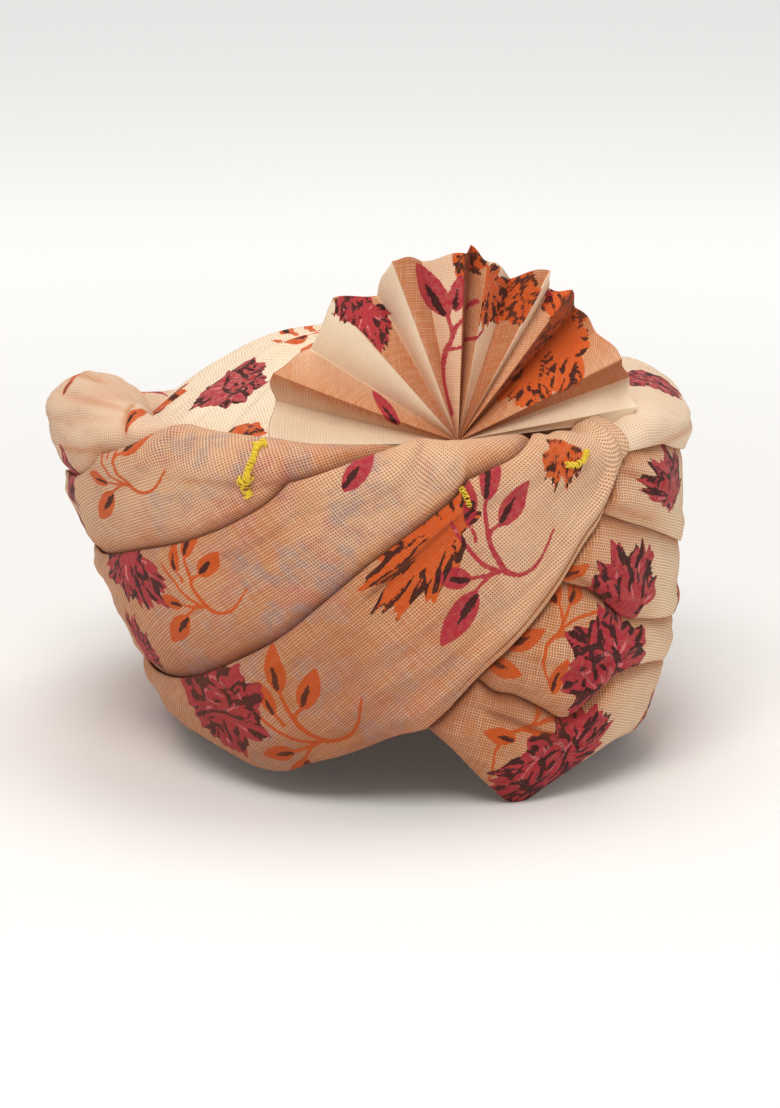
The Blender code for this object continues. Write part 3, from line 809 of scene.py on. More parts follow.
TUCKS = (
    Tuck("front_panel", (-17, 0.655), (5, 0.93), 0.0016, 0.0010, 0.014),
    Tuck("left_pleat_middle", (-32, 0.66), (-8, 1.05), 0.0006, 0.006, 0.012),
    Tuck("left_pleat_middle", (-60, 0.50), (-28, 0.70), 0.0005, 0.006, 0.012),
    Tuck("left_pleat_upper", (-45, 1.02), (-22, 1.14), 0.0012, 0.003, 0.009),
    Tuck("left_pleat_upper", (-36, 0.98), (-29, 1.15), 0.0010, 0.002, 0.004),
    Tuck("left_pleat_upper", (-24, 1.02), (-30, 1.18), 0.0010, 0.003, 0.004),
    Tuck("front_panel", (20, 0.95), (27, 1.15), 0.0010, 0.003, 0.007),
    Tuck("front_panel", (-50, 0.16), (-20, 0.30), 0.0009, 0.005, 0.010),
    Tuck("front_panel", (12, 0.62), (27, 0.90), 0.0008, 0.004, 0.010),
    Tuck("right_pleat_upper", (24, 0.75), (42, 0.60), 0.0012, 0.002, 0.006),
    Tuck("right_pleat_upper", (22, 0.72), (36, 0.56), 0.0014, 0.0015, 0.004),
    Tuck("right_pleat_middle", (12, 0.50), (30, 0.37), 0.0010, 0.003, 0.007),
    Tuck("right_pleat_middle", (24, 0.42), (44, 0.45), 0.0012, 0.003, 0.006),
    Tuck("right_pleat_lower", (4, 0.33), (22, 0.20), 0.0014, 0.0015, 0.006),
    Tuck("right_pleat_lower", (14, 0.22), (32, 0.16), 0.0012, 0.002, 0.006),
    Tuck("right_pleat_lower", (24, 0.22), (44, 0.30), 0.0009, 0.003, 0.007),
    Tuck("right_roll", (34, 1.0), (50, 0.88), 0.0014, 0.003, 0.008),
    Tuck("right_roll", (32, 0.90), (46, 0.80), 0.0012, 0.003, 0.006),
    Tuck("right_top_fold", (44, 1.15), (70, 1.10), 0.0014, 0.004, 0.008),
    Tuck("wing_roll", (-100, 1.1), (-60, 1.45), 0.0010, 0.004, 0.009),
    Tuck("wing_roll", (-72, 1.90), (-56, 1.25), 0.0022, 0.0014, 0.006),
    Tuck("wing_roll", (-88, 0.95), (-58, 1.18), 0.0013, 0.003, 0.009),
    Tuck("wing_roll", (-98, 1.42), (-82, 1.55), 0.0014, 0.002, 0.005),
    Tuck("wing_roll", (-90, 1.3), (-58, 1.6), 0.0012, 0.003, 0.008),
)


# --------------------------------------------------------------------------- the print

def leaf(x: np.ndarray, y: np.ndarray, base: tuple, tip: tuple, half: float) -> tuple:
    """Distance field of a pointed leaf.

    Args:
        x: across, in millimetres.
        y: up, in millimetres.
        base: point where the stalk meets it.
        tip: its point.
        half: half width.

    Returns:
        Distance inside the leaf and distance inside its dark vein.
    """
    length = math.hypot(tip[0] - base[0], tip[1] - base[1])
    ux, uy = (tip[0] - base[0]) / length, (tip[1] - base[1]) / length
    s = ((x - base[0]) * ux + (y - base[1]) * uy) / length
    t = (x - base[0]) * uy - (y - base[1]) * ux
    inside = np.clip(s, 0, 1)
    wide = half * np.sin(math.pi * inside ** 0.82) ** 0.78
    shape = wide - np.abs(t) - length * (np.maximum(-s, 0) + np.maximum(s - 1, 0))
    reach = np.clip((s - 0.04) / 0.56, 0, 1)
    vein = half * 0.26 * np.sin(math.pi * reach ** 0.7) ** 0.6 - np.abs(t + half * 0.16)
    vein = vein - length * (np.maximum(0.04 - s, 0) + np.maximum(s - 0.6, 0))
    return shape, vein


def stroke(x: np.ndarray, y: np.ndarray, path: Sequence[tuple], wide: float, thin: float) -> np.ndarray:
    """Distance field of a brushed line that tapers along its path.

    Args:
        x: across, in millimetres.
        y: up, in millimetres.
        path: points that it passes.
        wide: half width at its start.
        thin: half width at its end.

    Returns:
        Distance inside the line.
    """
    keys = np.linspace(0, 1, len(path))
    fine = np.linspace(0, 1, 6 * len(path))
    px = smooth_curve([(k, p[0]) for k, p in zip(keys, path)], fine)
    py = smooth_curve([(k, p[1]) for k, p in zip(keys, path)], fine)
    best = np.full(x.shape, -9.0)
    for i in range(len(fine) - 1):
        dx, dy = px[i + 1] - px[i], py[i + 1] - py[i]
        t = np.clip(((x - px[i]) * dx + (y - py[i]) * dy) / (dx * dx + dy * dy + 1e-12), 0, 1)
        radius = wide + (thin - wide) * (fine[i] + (fine[i + 1] - fine[i]) * t)
        best = np.maximum(best, radius - np.hypot(x - px[i] - dx * t, y - py[i] - dy * t))
    return best


# Columns: base x and y, tip x and y, half width, millimetres from the sprig's node
SPRIG_LEAVES = (
    (-8.3, 26.6, -3.0, 48.9, 4.0), (-2.4, 17.3, 8.9, 33.1, 4.4), (-14.2, 17.3, -14.2, 34.7, 2.9),
    (-13.8, -1.0, -27.6, -0.4, 4.1), (-11.4, -5.9, -25.2, -25.6, 5.0),
)
SPRIG_STEMS = (
    (((0, 0), (-5.9, 9.5), (-7.9, 19.3), (-8.3, 26.6)), 1.15, 0.7),
    (((-6.9, 13.4), (-5.9, 15.8), (-2.4, 18.0)), 0.9, 0.7),
    (((-12.0, 12.5), (-12.6, 15.0), (-14.2, 18.0)), 0.8, 0.6),
    (((-3.9, 1.0), (-9.9, 4.3), (-16.6, 12.2), (-21.7, 20.1)), 0.95, 0.7),
    (((-2.0, 0.6), (-8.5, -0.6), (-14.2, -1.0)), 0.9, 0.7),
    (((-3.0, 0.8), (-6.7, -1.0), (-12.6, -6.5)), 0.8, 0.6),
    (((0, 0), (5.9, -1.2), (12.6, 2.4), (19.5, 14.2)), 1.1, 0.45),
)
# Columns of each flower's petals: direction from upright, length, half width, for a flower of unit size
PETALS = {
    Flower.FULL: (
        (-168, 0.95, 0.40), (-128, 1.00, 0.42), (-84, 0.98, 0.40), (-46, 1.05, 0.40), (-10, 0.96, 0.38),
        (28, 1.02, 0.40), (66, 0.97, 0.40), (104, 1.03, 0.42), (144, 0.95, 0.40), (-150, 0.70, 0.36),
        (-60, 0.74, 0.36), (5, 0.72, 0.34), (76, 0.70, 0.36), (130, 0.70, 0.34), (-105, 0.66, 0.34),
    ),
    Flower.RISING: (
        (-70, 0.90, 0.30), (68, 0.92, 0.30), (-46, 1.10, 0.30), (46, 1.14, 0.30), (-24, 1.24, 0.30),
        (22, 1.26, 0.30), (-2, 1.38, 0.30), (-34, 0.80, 0.32), (32, 0.78, 0.32), (0, 0.86, 0.32),
        (150, 0.34, 0.36), (-150, 0.36, 0.36),
    ),
    Flower.FALLING: (
        (-118, 0.86, 0.28), (118, 0.84, 0.28), (-138, 1.08, 0.28), (138, 1.06, 0.28), (-158, 1.22, 0.28),
        (158, 1.20, 0.28), (178, 1.28, 0.28), (-150, 0.76, 0.30), (150, 0.74, 0.30), (180, 0.80, 0.30),
        (10, 0.42, 0.40), (-60, 0.40, 0.34), (60, 0.38, 0.34),
    ),
}


@dataclass(frozen=True)
class Motif:
    """One printed spray, laid flat on the cloth at a place on the body.

    Attributes:
        nodes: pieces that it may print on.
        turn: turn of its middle.
        share: share of its middle.
        angle: turn of the motif itself, anticlockwise.
        wide: scale across.
        tall: scale up.
        ink: ink of its fill.
        sprig: whether it is the leafy sprig.
        flower: shape of the flower, or None.
        size: radius of the flower in millimetres.
        seed: fixed seed of its brush strokes.
        lone: only a leaf of this length is drawn when over 0.
        centre: place of its middle, instead of the turn and share.
        plane: its two directions, given with the centre.
    """

    REACH, CLEAR = 0.062, 0.015

    nodes: tuple[str, ...]
    turn: float
    share: float
    angle: float
    wide: float
    tall: float
    ink: Ink
    sprig: bool = False
    flower: Optional[Flower] = None
    size: float = 20.0
    seed: int = 1
    lone: float = 0.0
    centre: Optional[tuple[float, float, float]] = None
    plane: Optional[tuple] = None

    def basis(self) -> tuple[np.ndarray, np.ndarray, np.ndarray]:
        """Middle of the motif and its two directions on the cloth."""
        if self.centre is not None:
            middle = np.array(self.centre)
            right, up = (np.array(direction, float) for direction in self.plane)
        else:
            turn, share = np.array([self.turn, self.turn + 1, self.turn]), np.array(
                [self.share, self.share, self.share + 0.03])
            spots = BODY.point(turn, share, np.full(3, 0.004))
            middle, right, up = spots[0], spots[1] - spots[0], spots[2] - spots[0]
        right = right / np.linalg.norm(right)
        up = up - right * (up @ right)
        up = up / np.linalg.norm(up)
        sine, cosine = math.sin(math.radians(self.angle)), math.cos(math.radians(self.angle))
        return middle, right * cosine + up * sine, up * cosine - right * sine

    def stamp(self, surface: Surface) -> None:
        """Print the motif on a surface.

        Args:
            surface: the grid that takes it.
        """
        middle, right, up = self.basis()
        away = surface.points - middle
        close = np.abs(away @ np.cross(right, up)) < self.CLEAR
        chosen = np.nonzero(((away ** 2).sum(axis=-1) < self.REACH ** 2) & close)
        if not len(chosen[0]):
            return
        away = away[chosen]
        x, y = away @ right * MM / self.wide, away @ up * MM / self.tall
        if self.lone:
            half = self.lone / 2
            self.draw_leaf(surface, chosen, x, y, (0.0, -half), (0.0, half), self.lone * 0.22)
        if self.sprig:
            for bx, by, tx, ty, half in SPRIG_LEAVES:
                self.draw_leaf(surface, chosen, x, y, (bx, by), (tx, ty), half)
            for path, wide, thin in SPRIG_STEMS:
                surface.paint(chosen, self.ink, stroke(x, y, path, wide, thin))
        if self.flower is not None:
            self.draw_flower(surface, chosen, x, y)

    def draw_leaf(self, surface: Surface, chosen: tuple, x: np.ndarray, y: np.ndarray, base: tuple,
                  tip: tuple, half: float) -> None:
        """Print one leaf with its dark vein.

        Args:
            surface: the grid that takes it.
            chosen: index arrays of the grid points concerned.
            x: their place across the motif.
            y: their place up the motif.
            base: point where the stalk meets the leaf.
            tip: the leaf's point.
            half: its half width.
        """
        shape, vein = leaf(x, y, base, tip, half)
        surface.paint(chosen, self.ink, shape)
        surface.paint(chosen, Ink.BLACK, np.minimum(vein, shape - 0.2))

    def draw_flower(self, surface: Surface, chosen: tuple, x: np.ndarray, y: np.ndarray) -> None:
        """Print the flower petal by petal, each over the last, with dark brushed edges and light lines.

        Args:
            surface: the grid that takes it.
            chosen: index arrays of the grid points concerned.
            x: their place across the motif.
            y: their place up the motif.
        """
        rng = random.Random(self.seed)
        for direction, length, half in PETALS[self.flower]:
            length, half = length * self.size, half * self.size
            ux, uy = math.sin(math.radians(direction)), math.cos(math.radians(direction))
            phase, bend, side = rng.uniform(0, 6.3), rng.uniform(-0.35, 0.35), rng.choice((-1, 1))
            s = (x * ux + y * uy) / length
            t = (x * uy - y * ux) / half - bend * s * s
            tip = 1 + 0.07 * np.sin(4.6 * t + phase) + 0.055 * np.sin(10.5 * t + 2 * phase) - 0.16 * t * t
            gone = np.clip(s / tip, 0, 1)
            wide = (0.22 + 0.78 * gone ** 0.75) * np.sqrt(np.clip(1 - gone ** 6, 0, 1))
            shape = np.minimum((wide - np.abs(t)) * half, (tip - s) * length)
            shape = np.minimum(shape, (s + 0.04) * length)
            surface.cover(chosen, shape)
            surface.paint(chosen, self.ink, shape)
            ragged = 0.22 + 0.16 * np.sin(8 * s + phase) + 0.08 * np.sin(19 * s + 3 * phase)
            edge = np.minimum((t * side - (wide - ragged * ease(0.25, 0.8, s))) * half, (s - 0.3) * length)
            surface.paint(chosen, Ink.BLACK, np.minimum(edge, shape + 0.3))
            for _ in range(3):
                at, width = rng.uniform(-0.6, 0.6), rng.uniform(0.06, 0.17)
                begin, finish = rng.uniform(0.3, 0.66), rng.uniform(0.85, 1.08)
                run = np.clip((s - begin) / (finish - begin), 0, 1)
                line = at * (0.35 + 0.65 * s) + 0.06 * np.sin(9 * s + phase)
                brush = (width * run ** 0.8 * np.sqrt(np.clip(1 - run ** 8, 0, 1)) - np.abs(t - line)) * half
                brush = brush - length * (np.maximum(begin - s, 0) + np.maximum(s - finish, 0))
                surface.paint(chosen, Ink.BLACK, np.minimum(brush, shape + 0.3))
            at, begin, finish = -0.5 * side, rng.uniform(0.12, 0.35), rng.uniform(0.55, 0.9)
            run = np.clip((s - begin) / (finish - begin), 0, 1)
            thin = (0.09 * np.sin(math.pi * run) - np.abs(t - at * (0.4 + 0.6 * s))) * half
            thin = thin - length * (np.maximum(begin - s, 0) + np.maximum(s - finish, 0))
            surface.paint(chosen, Ink.LIGHT, np.minimum(thin, shape))
        if self.flower is Flower.FULL:
            self.draw_heart(surface, chosen, x, y, rng)

    def draw_heart(self, surface: Surface, chosen: tuple, x: np.ndarray, y: np.ndarray,
                   rng: random.Random) -> None:
        """Print the curled middle of an open rose: light and dark arcs round an off-centre point.

        Args:
            surface: the grid that takes it.
            chosen: index arrays of the grid points concerned.
            x: their place across the motif.
            y: their place up the motif.
            rng: the flower's seeded numbers.
        """
        shift = rng.uniform(0, 6.3)
        cx, cy = 0.16 * self.size * math.cos(shift), 0.16 * self.size * math.sin(shift)
        radius, angle = np.hypot(x - cx, y - cy) / self.size, np.arctan2(y - cy, x - cx)
        disc = (0.33 + 0.06 * np.sin(5 * angle + shift) - radius) * self.size
        surface.cover(chosen, disc)
        surface.paint(chosen, self.ink, disc)
        for index, ring in enumerate((0.08, 0.17, 0.25, 0.34)):
            start = shift + 2.1 * index + rng.uniform(-0.5, 0.5)
            around = np.cos(angle - start)
            squeeze = 0.85 + 0.24 * np.cos(2 * (angle - shift)) + 0.14 * np.sin(3 * angle + start)
            band = np.abs(radius * squeeze - ring)
            surface.paint(chosen, Ink.LIGHT, (0.026 * np.clip(around - 0.1, 0, 1) - band) * self.size)
            surface.paint(chosen, Ink.BLACK, (0.060 * np.clip(-0.35 - around, 0, 1) - band) * self.size)


LEFT_NODES = ("wing_roll", "left_pleat_upper")
FRONT_MOTIFS = (
    Motif(("front_panel",), 10.5, 0.725, 0, 1.06, 1.10, Ink.CRIMSON, sprig=True),
    Motif(("front_panel",), 1.2, 0.875, -40, 0.66, 1.15, Ink.ORANGE, flower=Flower.FALLING, size=30, seed=5),
    Motif(("front_panel",), -5.0, 0.90, -35, 1.0, 1.0, Ink.ORANGE, lone=11.0),
    Motif(("front_panel",), -29, 0.22, 22, 1.15, 0.95, Ink.ORANGE, sprig=True),
    Motif(("front_panel",), -51, 0.285, 30, 1.0, 1.0, Ink.CRIMSON, flower=Flower.FULL, size=24.5, seed=8),
    Motif(("left_pleat_middle",), -45, 0.60, 2, 1.02, 0.78, Ink.ORANGE, sprig=True),
    Motif(("left_pleat_middle",), -64, 0.70, 8, 1.75, 1.0, Ink.CRIMSON, flower=Flower.FALLING,
          size=19, seed=3),
    Motif(("left_pleat_upper",), -55, 0.93, 0, 1.10, 0.78, Ink.ORANGE, sprig=True),
    Motif(("left_pleat_middle",), -13, 1.14, -38, 1.0, 1.0, Ink.CRIMSON, lone=20.0),
    Motif(("left_pleat_middle",), -76, 0.34, -25, 1.0, 1.0, Ink.CRIMSON, flower=Flower.RISING,
          size=17, seed=6),
    Motif(LEFT_NODES, -84, 0.90, 10, 1.0, 1.0, Ink.CRIMSON, flower=Flower.FALLING, size=17, seed=9),
    Motif(("left_pleat_upper",), -97, 0.66, 60, 1.0, 1.0, Ink.CRIMSON, flower=Flower.FULL, size=15, seed=10),
    Motif(("right_roll",), 50, 0.84, -6, 2.0, 1.0, Ink.CRIMSON, flower=Flower.RISING, size=15, seed=21),
    Motif(("right_pleat_upper",), 36, 0.545, 8, 1.25, 1.0, Ink.CRIMSON, flower=Flower.RISING,
          size=22, seed=22),
    Motif(("right_pleat_middle",), 31, 0.40, 10, 1.05, 1.15, Ink.CRIMSON, flower=Flower.FULL,
          size=22.5, seed=23),
    Motif(("right_pleat_lower",), 21, 0.125, 32, 1.5, 0.9, Ink.CRIMSON, flower=Flower.FULL, size=20, seed=24),
    Motif(("right_pleat_upper",), 24, 0.70, -70, 1.0, 1.0, Ink.ORANGE, lone=13.0),
    Motif(("right_pleat_middle",), 19, 0.52, -125, 1.0, 0.95, Ink.ORANGE, sprig=True),
    Motif(("right_pleat_lower",), 12, 0.25, -150, 1.1, 0.95, Ink.ORANGE, sprig=True),
    Motif(("front_panel",), 22.5, 1.24, 10, 1.15, 1.0, Ink.ORANGE, flower=Flower.FALLING, size=11, seed=25),
    Motif(("right_pleat_middle",), 13.5, 0.52, -65, 1.0, 1.0, Ink.ORANGE, lone=17.0),
    Motif(("right_pleat_middle",), 19.5, 0.40, -20, 1.1, 1.0, Ink.ORANGE, lone=16.0),
    Motif(("right_pleat_middle",), 8.5, 0.44, -115, 1.1, 1.0, Ink.ORANGE, lone=15.0),
    Motif(("right_pleat_lower",), 7.0, 0.235, 70, 1.1, 1.0, Ink.ORANGE, lone=15.0),
    Motif(("right_pleat_lower",), 16.5, 0.215, -80, 1.0, 1.0, Ink.ORANGE, lone=14.0),
    Motif(("right_top_fold",), 68, 1.45, -60, 1.0, 1.0, Ink.CRIMSON, flower=Flower.FULL, size=19, seed=26),
    Motif(("wing_roll",), -58.5, 1.45, 30, 0.5, 0.9, Ink.ORANGE, lone=22.0),
    Motif(("wing_roll",), -93, 1.33, 62, 0.40, 1.0, Ink.ORANGE, lone=28.0),
)


def scattered_motifs() -> tuple[Motif, ...]:
    """The same sprays on the sides and back, spread evenly with fixed seeds."""
    rng = random.Random(77)
    rows = (
        ("front_panel", -180, -86, 0.12, 34), ("left_pleat_middle", -180, -96, 0.40, 34),
        ("left_pleat_upper", -180, -112, 0.70, 36), ("wing_roll", -180, -105, 1.10, 36),
        ("right_top_fold", 92, 184, 1.15, 34), ("right_roll", 72, 184, 0.72, 30),
        ("right_pleat_upper", 66, 184, 0.48, 32), ("right_pleat_middle", 78, 184, 0.29, 34),
        ("right_pleat_lower", 58, 184, 0.13, 32),
    )
    made = []
    for node, low, high, share, pitch in rows:
        turn = low + pitch * rng.uniform(0.3, 0.6)
        flip = rng.random() < 0.5
        while turn < high:
            rose, sprig = (Ink.CRIMSON, Ink.ORANGE) if flip else (Ink.ORANGE, Ink.CRIMSON)
            tilt = rng.uniform(-35, 35)
            made.append(Motif((node,), turn, share + rng.uniform(-0.05, 0.05), tilt, 0.9, 0.85, sprig,
                              sprig=True))
            made.append(Motif((node,), turn - 12, share + rng.uniform(-0.04, 0.08), tilt, 1.0, 1.0, rose,
                              flower=Flower.FULL, size=16, seed=int(1000 + 10 * turn)))
            turn += pitch * rng.uniform(0.85, 1.1)
            flip = not flip
    return tuple(made)


MOTIFS = FRONT_MOTIFS + scattered_motifs()


# --------------------------------------------------------------------------- wound ring, crown, fan

class Wrap(Piece):
    """Hollow ring of wound cloth, its layers stepping round the inside."""

    WALL_RIM, WALL_TOP, RIM_INSET, TOP_SHARE = 0.006, 0.010, 0.003, 0.93

    def build(self, material: bpy.types.Material) -> None:
        """Make the ring.

        Args:
            material: its finish.
        """
        turn = np.linspace(-180, 180, 361)[:-1, None]
        bottom = np.where(turn < RIM_LEFT[-1][0], panel_bottom(turn), smooth_curve(RIM_RIGHT, turn))
        bottom = bottom + self.RIM_INSET / BODY.height
        outer = np.linspace(0, 1, 25)[None, :]
        inner = np.linspace(1, 0, 70)[None, :]
        out_share = bottom + (self.TOP_SHARE - bottom) * outer
        in_share = bottom + (self.TOP_SHARE - bottom) * inner
        wall = self.WALL_RIM + (self.WALL_TOP - self.WALL_RIM) * inner
        winding = (in_share * 7.0 + 0.7 * np.sin(np.radians(turn)) + turn / 180.0) % 1.0
        step = 0.0011 * ease(0.0, 0.14, winding) * (1 - ease(0.14, 1.0, winding) * 0.85)
        step = step + 0.00035 * ripples(turn / 8.0, in_share * 14, 5)
        off = np.concatenate((np.zeros_like(out_share), -wall + 0.0006 - np.maximum(step, 0)), axis=1)
        share = np.concatenate((out_share, in_share), axis=1)
        points = BODY.point(turn, share, off)
        uv = np.stack((turn * 0.0022 * np.ones_like(share), share * BODY.height), axis=-1)
        surface = Surface(points, uv)
        # painted shade, heavier towards the rim
        surface.tone = 0.45 + 0.3 * (1 - ease(0.1, 0.9, share))
        surface.ghost = np.full(share.shape, 0.15)
        self.place(surface.mesh(self.node, True, True), material)


class Crown(Piece):
    """Gathered cloth that closes the top."""

    RISE, WALL, FOLD, GAP = 0.034, 0.0025, 0.0022, 0.0014
    APEX_RING = 0.0002

    def build(self, material: bpy.types.Material) -> None:
        """Make the crown.

        Args:
            material: its finish.
        """
        turn = np.linspace(-180, 180, 361)[:-1, None]
        outer = self.rows(turn, 0.0)
        under = self.rows(turn, self.WALL)[:, ::-1]
        points = np.concatenate((outer, under[:, ::2]), axis=1)
        apex = outer[:, -1:, :].mean(axis=0, keepdims=True)
        flat = (points - apex)[..., :2]
        radius = np.linalg.norm(flat, axis=-1)
        uv = np.stack((flat[..., 0], flat[..., 1]), axis=-1)
        surface = Surface(points, uv)
        # light painted shade on the crown's outer ring, from about 0.1 m out from the apex
        surface.tone = 0.25 * ease(0.08, 0.12, radius)
        surface.ghost = np.full(radius.shape, 0.12)
        rows = outer.shape[1]
        top = Surface(points[:, :rows], uv[:, :rows])
        for motif in CROWN_MOTIFS:
            motif.stamp(top)
        surface.ink[:, :rows] = top.ink
        self.place(surface.mesh(self.node, True, True), material)

    def rows(self, turn: np.ndarray, drop: float) -> np.ndarray:
        """Rows of points from the caught edge to the apex.

        Args:
            turn: turns of the columns.
            drop: distance below the outer face.

        Returns:
            Grid of points.
        """
        foot, (_, reach) = BODY.top(turn), BODY.roll(turn)
        edge = BODY.point(turn, Wrap.TOP_SHARE, -Wrap.WALL_TOP * 0.3)
        edge[..., 2] += self.GAP + self.WALL - drop
        inset = CLOTH.pleat + 2 * CLOTH.lap + CLOTH.seat_gap
        shelf = BODY.point(turn, 1.0, -2 * reach - inset)
        shelf[..., 2] = foot - self.WALL * 0.6 - drop
        apex = np.array((-0.125 * BODY.half_width, 0.125 * BODY.half_length, BODY.height + self.RISE - drop))
        apex = apex + CENTRE_SHIFT
        first = edge + (shelf - edge) * np.linspace(0, 1, 5)[None, :-1, None]
        way = np.linspace(0, 1, 78)[None, :]
        rise = 1 - (1 - way) ** 2
        round_it = np.sin(math.pi * way)
        gather = self.FOLD * np.sin(np.radians(9 * turn) + 2.2 * way) * round_it
        wrinkle = 0.0007 * np.sin(np.radians(31 * turn) + 5 * way + 1.5 * np.sin(np.radians(3 * turn)))
        wrinkle = wrinkle + 0.0005 * np.sin(np.radians(58 * turn) - 7 * way)
        fade = np.clip(way * 8, 0, 1) * (1 - ease(0.80, 1.0, way)) * (0.4 + 0.6 * (1 - way))
        dome = shelf + (apex - shelf) * way[..., None]
        dome[..., 2] = shelf[..., 2] + (apex[2] - shelf[..., 2]) * rise + gather + wrinkle * fade
        ring = np.concatenate((np.sin(np.radians(turn)), -np.cos(np.radians(turn))), axis=1)
        dome[:, -1, :2] += self.APEX_RING * ring
        return np.concatenate((first, dome), axis=1)


CROWN_MOTIFS = (
    Motif((), 0, 0, 65, 1.15, 1.0, Ink.CRIMSON, flower=Flower.FULL, size=17, seed=31,
          centre=(-0.062, -0.030, 0.157), plane=((1, 0, 0.25), (0, 1, 0.3))),
    Motif((), 0, 0, 20, 1.0, 1.0, Ink.ORANGE, flower=Flower.FALLING, size=15, seed=32,
          centre=(-0.085, 0.026, 0.140), plane=((1, 0, 0.25), (0, 1, 0))),
    Motif((), 0, 0, 10, 1.0, 1.0, Ink.ORANGE, sprig=True,
          centre=(-0.012, -0.004, 0.172), plane=((1, 0, 0), (0, 1, 0))),
    Motif((), 0, 0, 120, 1.0, 1.0, Ink.CRIMSON, sprig=True,
          centre=(0.052, 0.030, 0.160), plane=((1, 0, 0), (0, 1, 0))),
    Motif((), 0, 0, 120, 1.0, 1.0, Ink.ORANGE, flower=Flower.FULL, size=18, seed=33,
          centre=(0.035, 0.070, 0.150), plane=((1, 0, 0), (0, 1, 0))),
    Motif((), 0, 0, 200, 1.0, 1.0, Ink.ORANGE, sprig=True,
          centre=(-0.040, 0.055, 0.155), plane=((1, 0, 0), (0, 1, 0))),
    Motif((), 0, 0, 0, 1.0, 1.0, Ink.CRIMSON, flower=Flower.FULL, size=17, seed=34,
          centre=(0.060, -0.050, 0.150), plane=((1, 0, 0), (0, 1, 0))),
    Motif((), 0, 0, 0, 1.0, 0.8, Ink.ORANGE, flower=Flower.FALLING, size=13, seed=35,
          centre=(-0.066, -0.071, 0.148), plane=((1, 0, 0), (0, 1, 0))),
)

# Columns: angle from upright, reach as a share of the fan's radius, pleat depth as a share of its depth,
# painted shade just after the ridge and painted shade just before the next one
FAN_ROWS = (
    (-90.8, 0.896, 0.75, 0.00, 0.25), (-79, 0.868, 0.10, 0.20, 1.15), (-69.3, 0.943, 1.00, 0.95, 0.65),
    (-57.8, 0.779, 0.15, 0.15, 0.00), (-39.6, 0.897, 1.00, 1.20, 0.85), (-25.9, 0.747, 0.10, 0.25, 0.00),
    (-17.9, 0.926, 0.95, 1.00, 1.20), (-6.7, 0.844, 0.10, 0.40, 0.45), (5.2, 0.892, 0.90, 1.85, 1.60),
    (9.4, 0.913, 0.20, 1.25, 1.00), (13.7, 0.879, 0.90, 0.20, 0.35), (25.8, 0.825, 0.10, 1.10, 1.45),
    (32.8, 0.963, 0.95, 0.15, 0.35), (37.5, 0.874, 0.40, 0.70, 0.95), (41.8, 0.943, 0.90, 1.85, 1.65),
    (50, 0.918, 0.00, 1.50, 1.20), (57.9, 0.929, 0.50, 0.95, 0.80), (67.1, 0.961, 1.00, 1.60, 1.35),
    (75.6, 0.990, 0.20, 0.35, 0.10), (82.5, 0.978, 0.70, 0.05, 0.25), (87.0, 0.918, 0.50, 0.25, 0.25),
)


